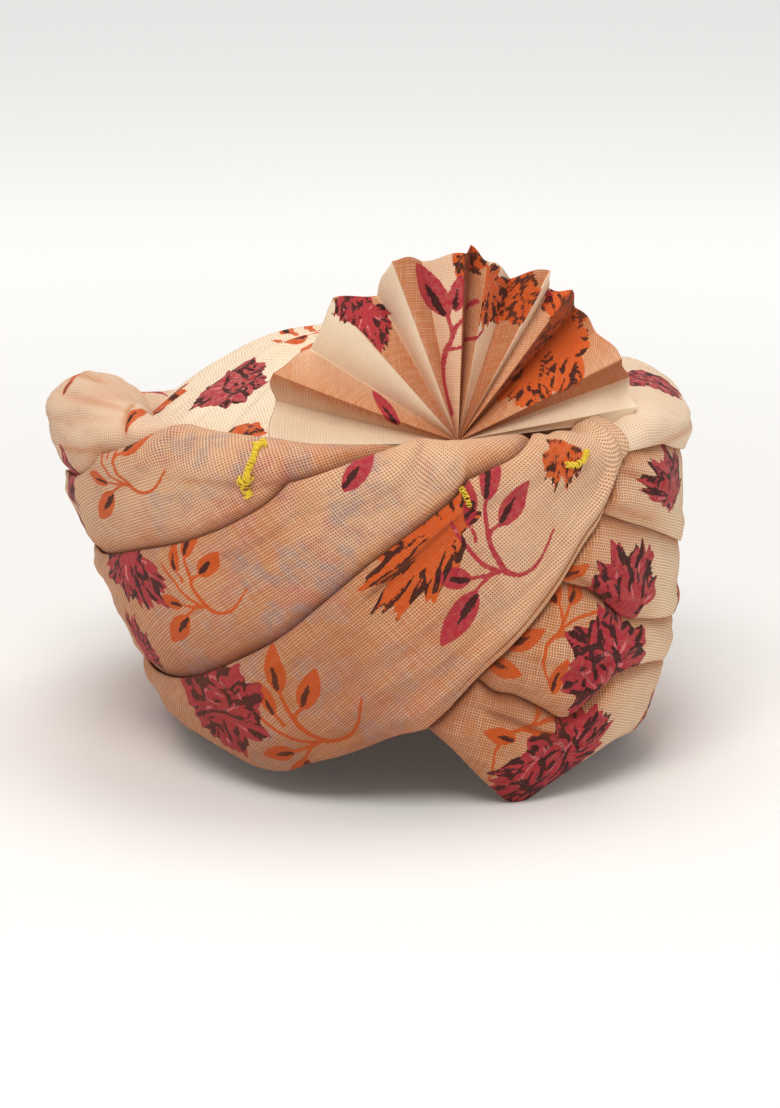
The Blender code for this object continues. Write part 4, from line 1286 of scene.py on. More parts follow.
class Fan(Piece):
    """Pleated fan with crisp ridges and softly bowed facets."""

    RADIUS, DEPTH, THICK, HEIGHT, ROOT, ROOT_HALF = 0.080, 0.017, 0.0018, 0.0097, 0.005, 0.020
    BOW_LEFT, BOW_RIGHT, LEAN, TURN, SAG = 0.016, 0.010, 12.0, 7.5, 0.004
    PER_FACET = 15
    CRISP, PRINT_REACH = 34.0, 95.0

    def build(self, material: bpy.types.Material) -> None:
        """Make the fan.

        Args:
            material: its finish.
        """
        rows = np.array(FAN_ROWS)
        place = np.concatenate([index + np.linspace(0, 1, self.PER_FACET, endpoint=False)
                                for index in range(len(rows) - 1)] + [[len(rows) - 1]])
        facet = np.minimum(place.astype(int), len(rows) - 2)
        part = place - facet
        blend = part[:, None]
        angle, reach, depth = (rows[facet, c][:, None] * (1 - blend) + rows[facet + 1, c][:, None] * blend
                               for c in range(3))
        belly = np.sin(math.pi * part)[:, None]
        radius = np.concatenate(([-1.0, -0.5], np.linspace(0.02, 1.0, 74)))[None, :]
        grown = np.clip(radius, 0, 1)
        sine, cosine = np.sin(np.radians(angle)), np.cos(np.radians(angle))
        centre = BODY.point(np.array(self.TURN), np.array(2.0), np.array(
            CLOTH.seat_gap + ROLL_LAPS * CLOTH.lap + CLOTH.pleat + CLOTH.lap_gap))
        foot = BODY.height + self.HEIGHT
        lean = math.tan(math.radians(self.LEAN))
        root = np.clip(-radius, 0, 1)
        edge = 1 + 0.012 * np.sin(place[:, None] * 5.0) * ease(0.9, 1.0, grown)
        side = self.RADIUS * reach * edge * grown * sine * (1 - root) + self.ROOT_HALF * angle / 90 * root
        rise = self.RADIUS * reach * edge * grown * cosine * (1 - root) - self.ROOT * root
        fold = self.DEPTH * depth * grown ** 0.8
        falling = (rows[facet + 1, 2] < rows[facet, 2])[:, None]
        bulge = np.where(falling, 0.0012, -0.0009) * belly * np.sin(math.pi * grown ** 0.8)
        wave = 0.0004 * np.sin(grown * 9 + place[:, None] * 2.3) * grown
        bow = np.where(side < 0, self.BOW_LEFT, self.BOW_RIGHT) * (side / self.RADIUS) ** 2
        y = centre[1] + bow + lean * (rise + self.ROOT) + self.DEPTH * grown - fold
        y = y + (bulge + wave) * (1 - root)
        rise = rise - self.SAG * (np.maximum(side, 0.0) / self.RADIUS) ** 2
        front = np.stack((centre[0] + side, y, foot + rise), axis=-1)
        back = front[:, ::-1] + np.array((0, self.THICK, 0))
        points = np.concatenate((front, back), axis=1)
        outer_edge = front[:, -1]
        steps = np.concatenate(([0.0], np.cumsum(np.linalg.norm(np.diff(outer_edge, axis=0), axis=1))))
        run = self.RADIUS * np.concatenate((radius, radius[:, ::-1]), axis=1)
        squeeze = 0.35 + 0.65 * np.clip(run / self.RADIUS, 0, 1)
        around = (steps[:, None] - steps.mean()) * squeeze
        uv = np.stack((around, run + np.zeros_like(around)), axis=-1)
        surface = Surface(points, uv)
        valley = 1 - depth
        grow = np.concatenate((grown, grown[:, ::-1]), axis=1)
        # painted shade: lit and shaded facets, more in the valleys and towards the root
        facet_shade = (rows[facet, 3] * (1 - part) + rows[facet, 4] * part)[:, None]
        surface.tone = facet_shade * (0.85 + 0.15 * grow) + 0.15 * valley * (1 - grow) + 0.5 * (1 - grow) ** 3
        rows_seen = front.shape[1]
        seen = Surface(points[:, :rows_seen], uv[:, :rows_seen])
        for motif in FAN_MOTIFS:
            self.stamp(seen, motif, place[:, None] * np.ones_like(radius))
        surface.ink[:, :rows_seen] = seen.ink
        surface.ink[:, rows_seen:] = seen.ink[:, ::-1] - 0.4
        mesh = surface.mesh(self.node, True, False)
        mesh.set_sharp_from_angle(angle=math.radians(self.CRISP))
        self.place(mesh, material)

    def stamp(self, surface: Surface, motif: "FanMotif", place: np.ndarray) -> None:
        """Print a motif on the facets that it names.

        Args:
            surface: the fan's front grid.
            motif: what is printed.
            place: facet and part of a facet of each point.
        """
        middle = BODY.point(np.array(self.TURN), np.array(2.0), np.array(0.0))
        foot = BODY.height + self.HEIGHT
        x = (surface.points[..., 0] - middle[0]) * MM - motif.across
        z = (surface.points[..., 2] - foot) * MM - motif.up
        inside = (place >= motif.first - 1e-6) & (place <= motif.last + 1e-6)
        inside = inside & (np.hypot(x, z) < self.PRINT_REACH)
        chosen = np.nonzero(inside)
        if not len(chosen[0]):
            return
        sine, cosine = math.sin(math.radians(motif.angle)), math.cos(math.radians(motif.angle))
        px, pz = x[chosen], z[chosen]
        motif.draw(surface, chosen, px * cosine + pz * sine, pz * cosine - px * sine)


@dataclass(frozen=True)
class FanMotif:
    """A printed shape on some facets of the fan, in millimetres from the fan's centre."""

    first: float
    last: float
    across: float
    up: float
    angle: float
    ink: Ink
    flower: Optional[Flower] = None
    size: float = 15.0
    leaf: tuple = ()
    stems: tuple = ()
    seed: int = 1

    def draw(self, surface: Surface, chosen: tuple, x: np.ndarray, y: np.ndarray) -> None:
        """Print it at the chosen points.

        Args:
            surface: the fan's front grid.
            chosen: index arrays of the grid points concerned.
            x: their place across the motif.
            y: their place up the motif.
        """
        painter = Motif((), 0, 0, 0, 1, 1, self.ink, flower=self.flower, size=self.size, seed=self.seed)
        if self.flower is not None:
            painter.draw_flower(surface, chosen, x, y)
        for base, tip, half in self.leaf:
            painter.draw_leaf(surface, chosen, x, y, base, tip, half)
        for path, wide, thin in self.stems:
            surface.paint(chosen, self.ink, stroke(x, y, path, wide, thin))


FAN_MOTIFS = (
    FanMotif(4.0, 6.0, -34, 50, 10, Ink.CRIMSON, Flower.FALLING, 13, seed=41),
    FanMotif(3.7, 4.6, -41, 52, 60, Ink.CRIMSON, Flower.FULL, 6.5, seed=42),
    FanMotif(1.2, 3.4, -28, 12.5, 35, Ink.CRIMSON, leaf=(((0, -7), (0, 8), 2.6),)),
    FanMotif(6.15, 8.2, 0, 0, 0, Ink.CRIMSON,
             leaf=(((-1.6, 46.9), (-12.2, 67.2), 4.9), ((0.9, 49.4), (4.2, 64), 2.9)),
             stems=((((-2.5, 10.2), (-4.4, 23), (-3.2, 33.1), (-0.6, 40), (-1.6, 47)), 0.85, 0.7),)),
    FanMotif(6.15, 10.4, 0, 0, 0, Ink.CRIMSON,
             stems=((((-0.6, 40), (2, 45), (10.4, 53)), 0.8, 0.7),
                    (((-2.5, 34.5), (4, 37), (12.5, 41.5)), 0.75, 0.6))),
    FanMotif(7.7, 10.1, 7.5, 68.5, 0, Ink.ORANGE, Flower.FULL, 7.5, seed=47),
    FanMotif(9.9, 11.1, 15.5, 61, -6, Ink.ORANGE, Flower.FALLING, 15, seed=43),
    FanMotif(10.9, 12.1, 28, 53, 25, Ink.ORANGE, Flower.FULL, 11, seed=44),
    FanMotif(13.1, 17.25, 44, 43, -45, Ink.ORANGE, Flower.RISING, 14, seed=45),
    FanMotif(14.2, 17.3, 50, 35, -62, Ink.ORANGE, Flower.FALLING, 20, seed=46),
    FanMotif(14.2, 17.3, 34, 26, 118, Ink.ORANGE, Flower.RISING, 14, seed=48),
    FanMotif(12.3, 13.4, 42, 51, 10, Ink.CRIMSON, leaf=(((0, -4), (0, 4), 1.6),)),
)


# --------------------------------------------------------------------------- finishes

@dataclass(frozen=True)
class GauzeFinish:
    """Look of one gauze.

    Attributes:
        name: name of the material.
        cream: colour of the bleached, lit cloth.
        tan: painted shade colour of the folds and the lower front; uneven threads streak towards it too.
        deep: painted shade colour of the deepest folds.
        hole: colour that shows between threads.
        pitch: thread spacing in metres.
        depth: strength of the weave's relief.
        open: how strongly the holes show.
    """

    name: str
    cream: tuple[float, float, float]
    tan: tuple[float, float, float]
    deep: tuple[float, float, float]
    hole: tuple[float, float, float]
    pitch: float = 0.00115
    depth: float = 0.45
    open: float = 0.64


PLEAT_GAUZE = GauzeFinish(
    "pleat_gauze", cream=(0.93, 0.70, 0.46), tan=(0.60, 0.24, 0.095), deep=(0.22, 0.055, 0.022),
    hole=(0.19, 0.065, 0.030),
)
PALE_GAUZE = GauzeFinish(
    "pale_gauze", cream=(0.95, 0.80, 0.60), tan=(0.62, 0.27, 0.12), deep=(0.25, 0.07, 0.03),
    hole=(0.36, 0.17, 0.09), open=0.42,
)
FAN_GAUZE = GauzeFinish(
    "fan_gauze", cream=(0.95, 0.80, 0.58), tan=(0.56, 0.185, 0.060), deep=(0.20, 0.045, 0.015),
    hole=(0.40, 0.16, 0.07), open=0.24, depth=0.34,
)
# painted highlight on the threads' crests
THREAD_HIGHLIGHT = (0.97, 0.84, 0.66)
INK_COLOURS = {
    Ink.CRIMSON: (0.42, 0.018, 0.042),
    Ink.ORANGE: (0.62, 0.085, 0.008),
    Ink.BLACK: (0.012, 0.004, 0.006),
    Ink.LIGHT: (0.80, 0.24, 0.25),
}


class Nodes:
    """Short hand for building a node tree."""

    def __init__(self, tree: bpy.types.NodeTree) -> None:
        """Keep the tree.

        Args:
            tree: node tree to build in.
        """
        self.tree = tree

    def add(self, kind: str, **inputs: object) -> bpy.types.Node:
        """Add a node; keyword inputs in_0, in_1, in_Name set or link sockets, others set properties."""
        node = self.tree.nodes.new(kind)
        for key, value in inputs.items():
            if not key.startswith("in_"):
                setattr(node, key, value)
        for key, value in inputs.items():
            if key.startswith("in_"):
                name = key[3:]
                socket = node.inputs[int(name)] if name.isdigit() else node.inputs[name]
                if isinstance(value, bpy.types.NodeSocket):
                    self.tree.links.new(value, socket)
                else:
                    socket.default_value = value
        return node

    def math(self, operation: str, *values: object, clamp: bool = False) -> bpy.types.NodeSocket:
        """Math node's output."""
        node = self.add("ShaderNodeMath", operation=operation, use_clamp=clamp)
        for socket, value in zip(node.inputs, values):
            if isinstance(value, bpy.types.NodeSocket):
                self.tree.links.new(value, socket)
            else:
                socket.default_value = value
        return node.outputs[0]

    def smooth(self, value: object, low: float, high: float, out_low: float = 0.0,
               out_high: float = 1.0) -> bpy.types.NodeSocket:
        """Smooth step of a value."""
        node = self.add("ShaderNodeMapRange", interpolation_type="SMOOTHSTEP", in_0=value, in_1=low,
                        in_2=high, in_3=out_low, in_4=out_high)
        return node.outputs[0]

    def blend(self, factor: object, first: object, second: object, mode: str = "MIX") -> bpy.types.NodeSocket:
        """Colour mix."""
        node = self.add("ShaderNodeMix", data_type="RGBA", blend_type=mode)
        for index, value in ((0, factor), (6, first), (7, second)):
            if isinstance(value, bpy.types.NodeSocket):
                self.tree.links.new(value, node.inputs[index])
            elif index == 0:
                node.inputs[index].default_value = value
            else:
                node.inputs[index].default_value = (*value, 1.0)
        return node.outputs[2]


def new_group(name: str, inputs: Sequence[tuple], outputs: Sequence[tuple]) -> tuple:
    """Start a shader node group.

    Args:
        name: its name.
        inputs: name, socket type and default of each input.
        outputs: name and socket type of each output.

    Returns:
        The group, its node builder, its input node and its output node.
    """
    group = bpy.data.node_groups.new(name, "ShaderNodeTree")
    for label, kind, default in inputs:
        socket = group.interface.new_socket(label, in_out="INPUT", socket_type=kind)
        if default is not None:
            socket.default_value = default
    for label, kind in outputs:
        group.interface.new_socket(label, in_out="OUTPUT", socket_type=kind)
    nodes = Nodes(group)
    return group, nodes, nodes.add("NodeGroupInput"), nodes.add("NodeGroupOutput")


def weave_group() -> bpy.types.NodeTree:
    """Open gauze: threads both ways, uneven, with holes between them."""
    group, n, start, end = new_group(
        "GauzeWeave",
        (("Cloth", "NodeSocketVector", None), ("Pitch", "NodeSocketFloat", 0.001)),
        (("Height", "NodeSocketFloat"), ("Hole", "NodeSocketFloat"), ("Slub", "NodeSocketFloat")),
    )
    wobble = n.add("ShaderNodeTexNoise", in_Vector=start.outputs["Cloth"], in_Scale=140.0, in_Detail=2.0)
    split = n.add("ShaderNodeSeparateXYZ", in_0=start.outputs["Cloth"])
    waves = []
    for axis, shift in ((0, 0.55), (1, 0.45)):
        turns = n.math("DIVIDE", split.outputs[axis], start.outputs["Pitch"])
        turns = n.math("ADD", turns, n.math("MULTIPLY", wobble.outputs[0], shift))
        wave = n.math("SINE", n.math("MULTIPLY", turns, 2 * math.pi))
        waves.append(n.math("MULTIPLY_ADD", wave, 0.5, 0.5))
    bare = n.math("MULTIPLY", n.math("SUBTRACT", 1.0, waves[0]), n.math("SUBTRACT", 1.0, waves[1]))
    stretched = n.add("ShaderNodeMapping", vector_type="POINT", in_0=start.outputs["Cloth"],
                      in_3=(60.0, 900.0, 1.0))
    slub = n.add("ShaderNodeTexNoise", in_Vector=stretched.outputs[0], in_Scale=1.0, in_Detail=2.0)
    crossed = n.add("ShaderNodeMapping", vector_type="POINT", in_0=start.outputs["Cloth"],
                    in_3=(900.0, 60.0, 1.0))
    slub_two = n.add("ShaderNodeTexNoise", in_Vector=crossed.outputs[0], in_Scale=1.0, in_Detail=2.0)
    both = n.math("MULTIPLY_ADD", n.math("ADD", slub.outputs[0], slub_two.outputs[0]), 1.0, -1.0)
    height = n.math("MAXIMUM", waves[0], waves[1])
    n.tree.links.new(n.math("MULTIPLY_ADD", both, 0.6, height), end.inputs["Height"])
    n.tree.links.new(bare, end.inputs["Hole"])
    n.tree.links.new(both, end.inputs["Slub"])
    return group


def print_group() -> bpy.types.NodeTree:
    """Printed inks over the cloth's colour, their edges broken by the threads."""
    group, n, start, end = new_group(
        "FloralPrint",
        (("Ground", "NodeSocketColor", None), ("Cloth", "NodeSocketVector", None),
         ("Crimson", "NodeSocketColor", (*INK_COLOURS[Ink.CRIMSON], 1)),
         ("Orange", "NodeSocketColor", (*INK_COLOURS[Ink.ORANGE], 1)),
         ("Black", "NodeSocketColor", (*INK_COLOURS[Ink.BLACK], 1)),
         ("Light", "NodeSocketColor", (*INK_COLOURS[Ink.LIGHT], 1))),
        (("Colour", "NodeSocketColor"), ("Inked", "NodeSocketFloat")),
    )
    field = n.add("ShaderNodeAttribute", attribute_name="ink", attribute_type="GEOMETRY")
    split = n.add("ShaderNodeSeparateColor", in_0=field.outputs["Color"])
    rough = n.add("ShaderNodeTexNoise", in_Vector=start.outputs["Cloth"], in_Scale=900.0, in_Detail=3.0)
    brush = n.add("ShaderNodeTexNoise", in_Vector=start.outputs["Cloth"], in_Scale=260.0, in_Detail=2.0)
    ragged = n.math("MULTIPLY_ADD", rough.outputs[0], 0.10, -0.05)
    jag = n.math("ADD", ragged, n.math("MULTIPLY_ADD", brush.outputs[0], 0.05, -0.025))
    masks = []
    for socket, extra in ((split.outputs[0], 0.0), (split.outputs[1], 0.0), (split.outputs[2], 1.0),
                          (field.outputs["Alpha"], 0.6)):
        value = n.math("ADD", socket, jag)
        if extra:
            value = n.math("SUBTRACT", value, 0.08 * extra)
            value = n.math("MULTIPLY_ADD", brush.outputs[0], 0.16 * extra, value)
        masks.append(n.smooth(n.math("ADD", value, 0.010 if extra == 1.0 else 0.0), 0.482, 0.518))
    tint = n.add("ShaderNodeTexNoise", in_Vector=start.outputs["Cloth"], in_Scale=420.0, in_Detail=2.0)
    fade = n.smooth(tint.outputs[0], 0.30, 0.70, 0.86, 1.0)
    colour = n.blend(n.math("MULTIPLY", masks[1], fade), start.outputs["Ground"], start.outputs["Orange"])
    colour = n.blend(n.math("MULTIPLY", masks[0], fade), colour, start.outputs["Crimson"])
    fill = n.math("MAXIMUM", masks[0], masks[1])
    light = n.math("MULTIPLY", n.math("MULTIPLY", masks[3], masks[0]), 0.70)
    colour = n.blend(light, colour, start.outputs["Light"])
    colour = n.blend(n.math("MULTIPLY", masks[2], 0.93), colour, start.outputs["Black"])
    n.tree.links.new(colour, end.inputs["Colour"])
    n.tree.links.new(n.math("MAXIMUM", fill, masks[2]), end.inputs["Inked"])
    return group


def ghost_group() -> bpy.types.NodeTree:
    """Blotches of the layer below that show through the gauze."""
    group, n, start, end = new_group(
        "ShowThrough",
        (("Colour", "NodeSocketColor", None), ("Cloth", "NodeSocketVector", None),
         ("Hole", "NodeSocketFloat", 0.0), ("Amount", "NodeSocketFloat", 0.2)),
        (("Colour", "NodeSocketColor"),),
    )
    broad = n.add("ShaderNodeTexNoise", in_Vector=start.outputs["Cloth"], in_Scale=44.0, in_Detail=3.0,
                  in_Distortion=0.6)
    tinted = n.add("ShaderNodeTexNoise", in_Vector=start.outputs["Cloth"], in_Scale=62.0, in_Detail=1.0)
    patch = n.smooth(broad.outputs[0], 0.42, 0.58)
    petals = n.add("ShaderNodeTexNoise", in_Vector=start.outputs["Cloth"], in_Scale=170.0, in_Detail=2.0)
    patch = n.math("MULTIPLY", patch, n.smooth(petals.outputs[0], 0.40, 0.60, 0.35, 1.0))
    patch = n.math("MULTIPLY", patch, start.outputs["Amount"])
    dark = n.math("MULTIPLY", patch, n.math("MULTIPLY_ADD", start.outputs["Hole"], 0.9, 0.42), clamp=True)
    hue = n.blend(n.smooth(tinted.outputs[0], 0.45, 0.58), (0.30, 0.215, 0.225), (0.52, 0.17, 0.13))
    n.tree.links.new(n.blend(dark, start.outputs["Colour"], hue), end.inputs["Colour"])
    return group


class Finisher:
    """Makes the materials from shared node groups."""

    def __init__(self) -> None:
        """Build the shared groups."""
        self.weave = weave_group()
        self.prints = print_group()
        self.ghosts = ghost_group()

    def gauze(self, finish: GauzeFinish) -> bpy.types.Material:
        """Printed gauze.

        Args:
            finish: its look.

        Returns:
            The material.
        """
        material = bpy.data.materials.new(finish.name)
        material.use_nodes = True
        n = Nodes(material.node_tree)
        shader = material.node_tree.nodes["Principled BSDF"]
        cloth = n.add("ShaderNodeUVMap", uv_map="cloth").outputs[0]
        weave = n.add("ShaderNodeGroup", node_tree=self.weave, in_Cloth=cloth, in_Pitch=finish.pitch)
        # point attributes: painted shade, and show-through
        tone = n.add("ShaderNodeAttribute", attribute_name="tone", attribute_type="GEOMETRY").outputs["Fac"]
        ghost = n.add("ShaderNodeAttribute", attribute_name="ghost", attribute_type="GEOMETRY").outputs["Fac"]
        place = n.add("ShaderNodeTexCoord").outputs["Object"]
        cloudy = n.add("ShaderNodeTexNoise", in_Vector=place, in_Scale=38.0, in_Detail=3.0)
        # painted shade from the mesh with random cloudy variation: cream to tan, then tan to deep in the
        # darkest folds
        shade = n.math("ADD", tone, n.math("MULTIPLY_ADD", cloudy.outputs[0], 0.40, -0.20))
        ground = n.blend(n.math("ADD", shade, 0.0, clamp=True), finish.cream, finish.tan)
        streak = n.math("MULTIPLY_ADD", weave.outputs["Slub"], 0.30, 0.06, clamp=True)
        ground = n.blend(streak, ground, finish.tan)
        ground = n.blend(n.math("SUBTRACT", shade, 1.0, clamp=True), ground, finish.deep)
        ground = n.add("ShaderNodeGroup", node_tree=self.ghosts, in_Colour=ground, in_Cloth=cloth,
                       in_Hole=weave.outputs["Hole"], in_Amount=ghost).outputs[0]
        printed = n.add("ShaderNodeGroup", node_tree=self.prints, in_Ground=ground, in_Cloth=cloth)
        # painted shade also darkens the inks in the deepest folds
        ink_shade = n.math("MULTIPLY", n.math("SUBTRACT", shade, 1.0, clamp=True), printed.outputs["Inked"])
        inked = n.blend(n.math("MULTIPLY", ink_shade, 0.75), printed.outputs["Colour"], finish.deep)
        bare = n.math("MULTIPLY_ADD", printed.outputs["Inked"], -0.5, 1.0)
        holes = n.math("MULTIPLY", n.smooth(weave.outputs["Hole"], 0.15, 0.65), finish.open)
        holes = n.math("MULTIPLY", holes, bare)
        colour = n.blend(holes, inked, finish.hole)
        # painted highlight on the thread crests, kept off the inks and faded in painted shade
        clear = n.math("MULTIPLY_ADD", printed.outputs["Inked"], -0.92, 1.0)
        thread_highlight = n.math("MULTIPLY", n.smooth(weave.outputs["Height"], 0.72, 1.15), 0.34)
        clear = n.math("MULTIPLY", clear, n.smooth(shade, 1.0, 1.7, 1.0, 0.15))
        colour = n.blend(n.math("MULTIPLY", thread_highlight, clear), colour, THREAD_HIGHLIGHT)
        material.node_tree.links.new(colour, shader.inputs["Base Color"])
        bump = n.add("ShaderNodeBump", in_Height=weave.outputs["Height"], in_Strength=finish.depth,
                     in_Distance=0.00035)
        crumple = n.add("ShaderNodeTexNoise", in_Vector=place, in_Scale=150.0, in_Detail=4.0)
        second = n.add("ShaderNodeBump", in_Height=crumple.outputs[0], in_Strength=0.35, in_Distance=0.0006,
                       in_Normal=bump.outputs[0])
        material.node_tree.links.new(second.outputs[0], shader.inputs["Normal"])
        shader.inputs["Roughness"].default_value = 0.82
        shader.inputs["Sheen Weight"].default_value = 0.06
        shader.inputs["Sheen Roughness"].default_value = 0.45
        shader.inputs["Specular IOR Level"].default_value = 0.12
        return material

    def thread(self) -> bpy.types.Material:
        """Twisted yellow tacking thread."""
        material = bpy.data.materials.new("tacking_thread")
        material.use_nodes = True
        n = Nodes(material.node_tree)
        shader = material.node_tree.nodes["Principled BSDF"]
        place = n.add("ShaderNodeTexCoord").outputs["Object"]
        fuzz = n.add("ShaderNodeTexNoise", in_Vector=place, in_Scale=2600.0, in_Detail=2.0)
        colour = n.blend(n.smooth(fuzz.outputs[0], 0.35, 0.65), (0.92, 0.68, 0.010), (0.66, 0.43, 0.003))
        material.node_tree.links.new(colour, shader.inputs["Base Color"])
        bump = n.add("ShaderNodeBump", in_Height=fuzz.outputs[0], in_Strength=0.5, in_Distance=0.0002)
        material.node_tree.links.new(bump.outputs[0], shader.inputs["Normal"])
        shader.inputs["Roughness"].default_value = 0.6
        shader.inputs["Sheen Weight"].default_value = 0.3
        return material


# --------------------------------------------------------------------------- threads

@dataclass(frozen=True)
class Tack:
    """A wound tack of thread on the cloth.

    Attributes:
        name: name of the piece.
        node: cloth that it lies on.
        path: turn and share along the tack.
        loops: number of wound loops.
        radius: radius of a loop.
        thread: radius of the thread.
        seed: fixed seed of the loops' tilt and size.
    """

    name: str
    node: str
    path: tuple[tuple[float, float], ...]
    loops: int
    radius: float
    thread: float = 0.00032
    seed: int = 3


TACKS = (
    Tack("tack_left", "left_pleat_upper",
         ((-29.6, 1.40), (-30.2, 1.30), (-30.2, 1.18), (-30.8, 1.08), (-31.2, 1.00)), 90, 0.0012, seed=3),
    Tack("tack_left_top", "left_pleat_upper", ((-28.8, 1.36), (-31.0, 1.34)), 16, 0.0010, seed=7),
    Tack("tack_left_knot", "left_pleat_upper", ((-30.2, 1.06), (-32.0, 1.01), (-31.4, 0.96)), 28, 0.0019,
         seed=4),
    Tack("tack_middle", "front_panel", ((4.4, 0.975), (5.0, 0.93)), 14, 0.0011, seed=5),
    Tack("tack_right", "front_panel", ((22.8, 1.06), (24.6, 1.045), (26.2, 1.08), (27.4, 1.16)), 40, 0.0011,
         seed=6),
)


def thread_tree(material: bpy.types.Material) -> tuple:
    """Geometry nodes that wind loops of thread along a path.

    Args:
        material: the thread's finish.

    Returns:
        The node group, and a dictionary of the identifiers of its named inputs.
    """
    tree = bpy.data.node_groups.new("WoundThread", "GeometryNodeTree")
    tree.interface.new_socket("Geometry", in_out="INPUT", socket_type="NodeSocketGeometry")
    names = {}
    for label, kind, value in (("Loops", "NodeSocketInt", 20), ("Radius", "NodeSocketFloat", 0.0014),
                               ("Thread", "NodeSocketFloat", 0.0003), ("Seed", "NodeSocketInt", 1)):
        socket = tree.interface.new_socket(label, in_out="INPUT", socket_type=kind)
        socket.default_value = value
        names[label] = socket.identifier
    tree.interface.new_socket("Geometry", in_out="OUTPUT", socket_type="NodeSocketGeometry")
    n = Nodes(tree)
    start, end = n.add("NodeGroupInput"), n.add("NodeGroupOutput")
    points = n.add("GeometryNodeCurveToPoints", mode="COUNT", in_Curve=start.outputs["Geometry"],
                   in_Count=start.outputs["Loops"])
    ring = n.add("GeometryNodeCurvePrimitiveCircle", in_Resolution=11, in_Radius=start.outputs["Radius"])
    section = n.add("GeometryNodeCurvePrimitiveCircle", in_Resolution=5, in_Radius=start.outputs["Thread"])
    loop = n.add("GeometryNodeCurveToMesh", in_Curve=ring.outputs[0])
    tree.links.new(section.outputs[0], loop.inputs["Profile Curve"])
    tilt = n.add("FunctionNodeRandomValue", data_type="FLOAT_VECTOR")
    tilt.inputs[0].default_value = (-0.5, -0.5, -0.5)
    tilt.inputs[1].default_value = (0.5, 0.5, 0.5)
    tree.links.new(start.outputs["Seed"], tilt.inputs["Seed"])
    size = n.add("FunctionNodeRandomValue", data_type="FLOAT")
    size.inputs[2].default_value = 0.72
    size.inputs[3].default_value = 1.12
    tree.links.new(start.outputs["Seed"], size.inputs["Seed"])
    placed = n.add("GeometryNodeInstanceOnPoints", in_Points=points.outputs["Points"],
                   in_Instance=loop.outputs[0], in_Rotation=points.outputs["Rotation"],
                   in_Scale=size.outputs[1])
    turned = n.add("GeometryNodeRotateInstances", in_Instances=placed.outputs[0], in_Rotation=tilt.outputs[0])
    real = n.add("GeometryNodeRealizeInstances", in_Geometry=turned.outputs[0])
    dressed = n.add("GeometryNodeSetMaterial", in_Geometry=real.outputs[0], in_Material=material)
    tree.links.new(dressed.outputs[0], end.inputs[0])
    return tree, names


def wind_tack(tack: Tack, tree: bpy.types.NodeTree, names: dict, material: bpy.types.Material) -> None:
    """Make one tack as a plain mesh that rides the root body.

    Args:
        tack: its description.
        tree: the winding node group.
        names: identifiers of its inputs.
        material: the thread's finish.
    """
    path = np.array(tack.path)
    along = np.linspace(0, len(path) - 1, 5 * len(path))
    turn, share = (np.interp(along, np.arange(len(path)), path[:, column]) for column in (0, 1))
    cloth = bpy.data.objects[tack.node + "_cloth"]
    spots = []
    for outer, foot in zip(BODY.point(turn, share, np.array(0.03)), BODY.point(turn, share, np.array(0.0))):
        away = Vector(outer) - Vector(foot)
        found, spot, _, _ = cloth.ray_cast(Vector(outer), -away)
        spots.append((spot if found else Vector(foot)) + away.normalized() * tack.radius * 0.35)
    curve = bpy.data.curves.new(tack.name + "_path", "CURVE")
    curve.dimensions = "3D"
    line = curve.splines.new("POLY")
    line.points.add(len(spots) - 1)
    for point, spot in zip(line.points, spots):
        point.co = (*spot, 1.0)
    guide = bpy.data.objects.new(tack.name + "_path", curve)
    bpy.context.scene.collection.objects.link(guide)
    winding = guide.modifiers.new("wind", "NODES")
    winding.node_group = tree
    inputs = {"Loops": tack.loops, "Radius": tack.radius, "Thread": tack.thread, "Seed": tack.seed}
    for label, value in inputs.items():
        winding[names[label]] = value
    bpy.context.view_layer.update()
    ready = guide.evaluated_get(bpy.context.evaluated_depsgraph_get())
    mesh = bpy.data.meshes.new_from_object(ready)
    mesh.name = tack.name
    mesh.materials.clear()
    mesh.materials.append(material)
    mesh.shade_smooth()
    bpy.data.objects.remove(guide, do_unlink=True)
    thing = bpy.data.objects.new(tack.name, mesh)
    bpy.context.scene.collection.objects.link(thing)
    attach(thing, "root")
    LOG.info("%s: %d faces", tack.name, len(mesh.polygons))


# --------------------------------------------------------------------------- stage

@dataclass(frozen=True)
class Shot:
    """The camera's place: it looks at the front from a little to its left and above."""

    azimuth: float = -12.0
    elevation: float = 15.0
    distance: float = 1.6
    pixel: float = 0.43e-3
    width: int = 780
    height: int = 1108
    anchor: tuple[float, float, float] = (0.0, 0.0, -0.0025)
    anchor_pixel: tuple[float, float] = (410.0, 731.0)


def build_camera(shot: Shot) -> None:
    """Make the camera.

    Args:
        shot: its place.
    """
    az, el = math.radians(shot.azimuth), math.radians(shot.elevation)
    back = Vector((math.sin(az) * math.cos(el), -math.cos(az) * math.cos(el), math.sin(el)))
    right = Vector((math.cos(az), math.sin(az), 0))
    up = back.cross(right)
    across = (shot.anchor_pixel[0] - shot.width / 2) * shot.pixel
    down = (shot.anchor_pixel[1] - shot.height / 2) * shot.pixel
    target = Vector(shot.anchor) + Vector(CENTRE_SHIFT) - right * across + up * down
    data = bpy.data.cameras.new("camera")
    data.lens = 36.0 * shot.distance / (shot.height * shot.pixel)
    data.sensor_width = 36.0
    data.clip_start, data.clip_end = 0.05, 50.0
    camera = bpy.data.objects.new("camera", data)
    bpy.context.scene.collection.objects.link(camera)
    camera.location = target + back * shot.distance
    camera.rotation_mode = "QUATERNION"
    camera.rotation_quaternion = (-back).to_track_quat("-Z", "Y")
    bpy.context.scene.camera = camera


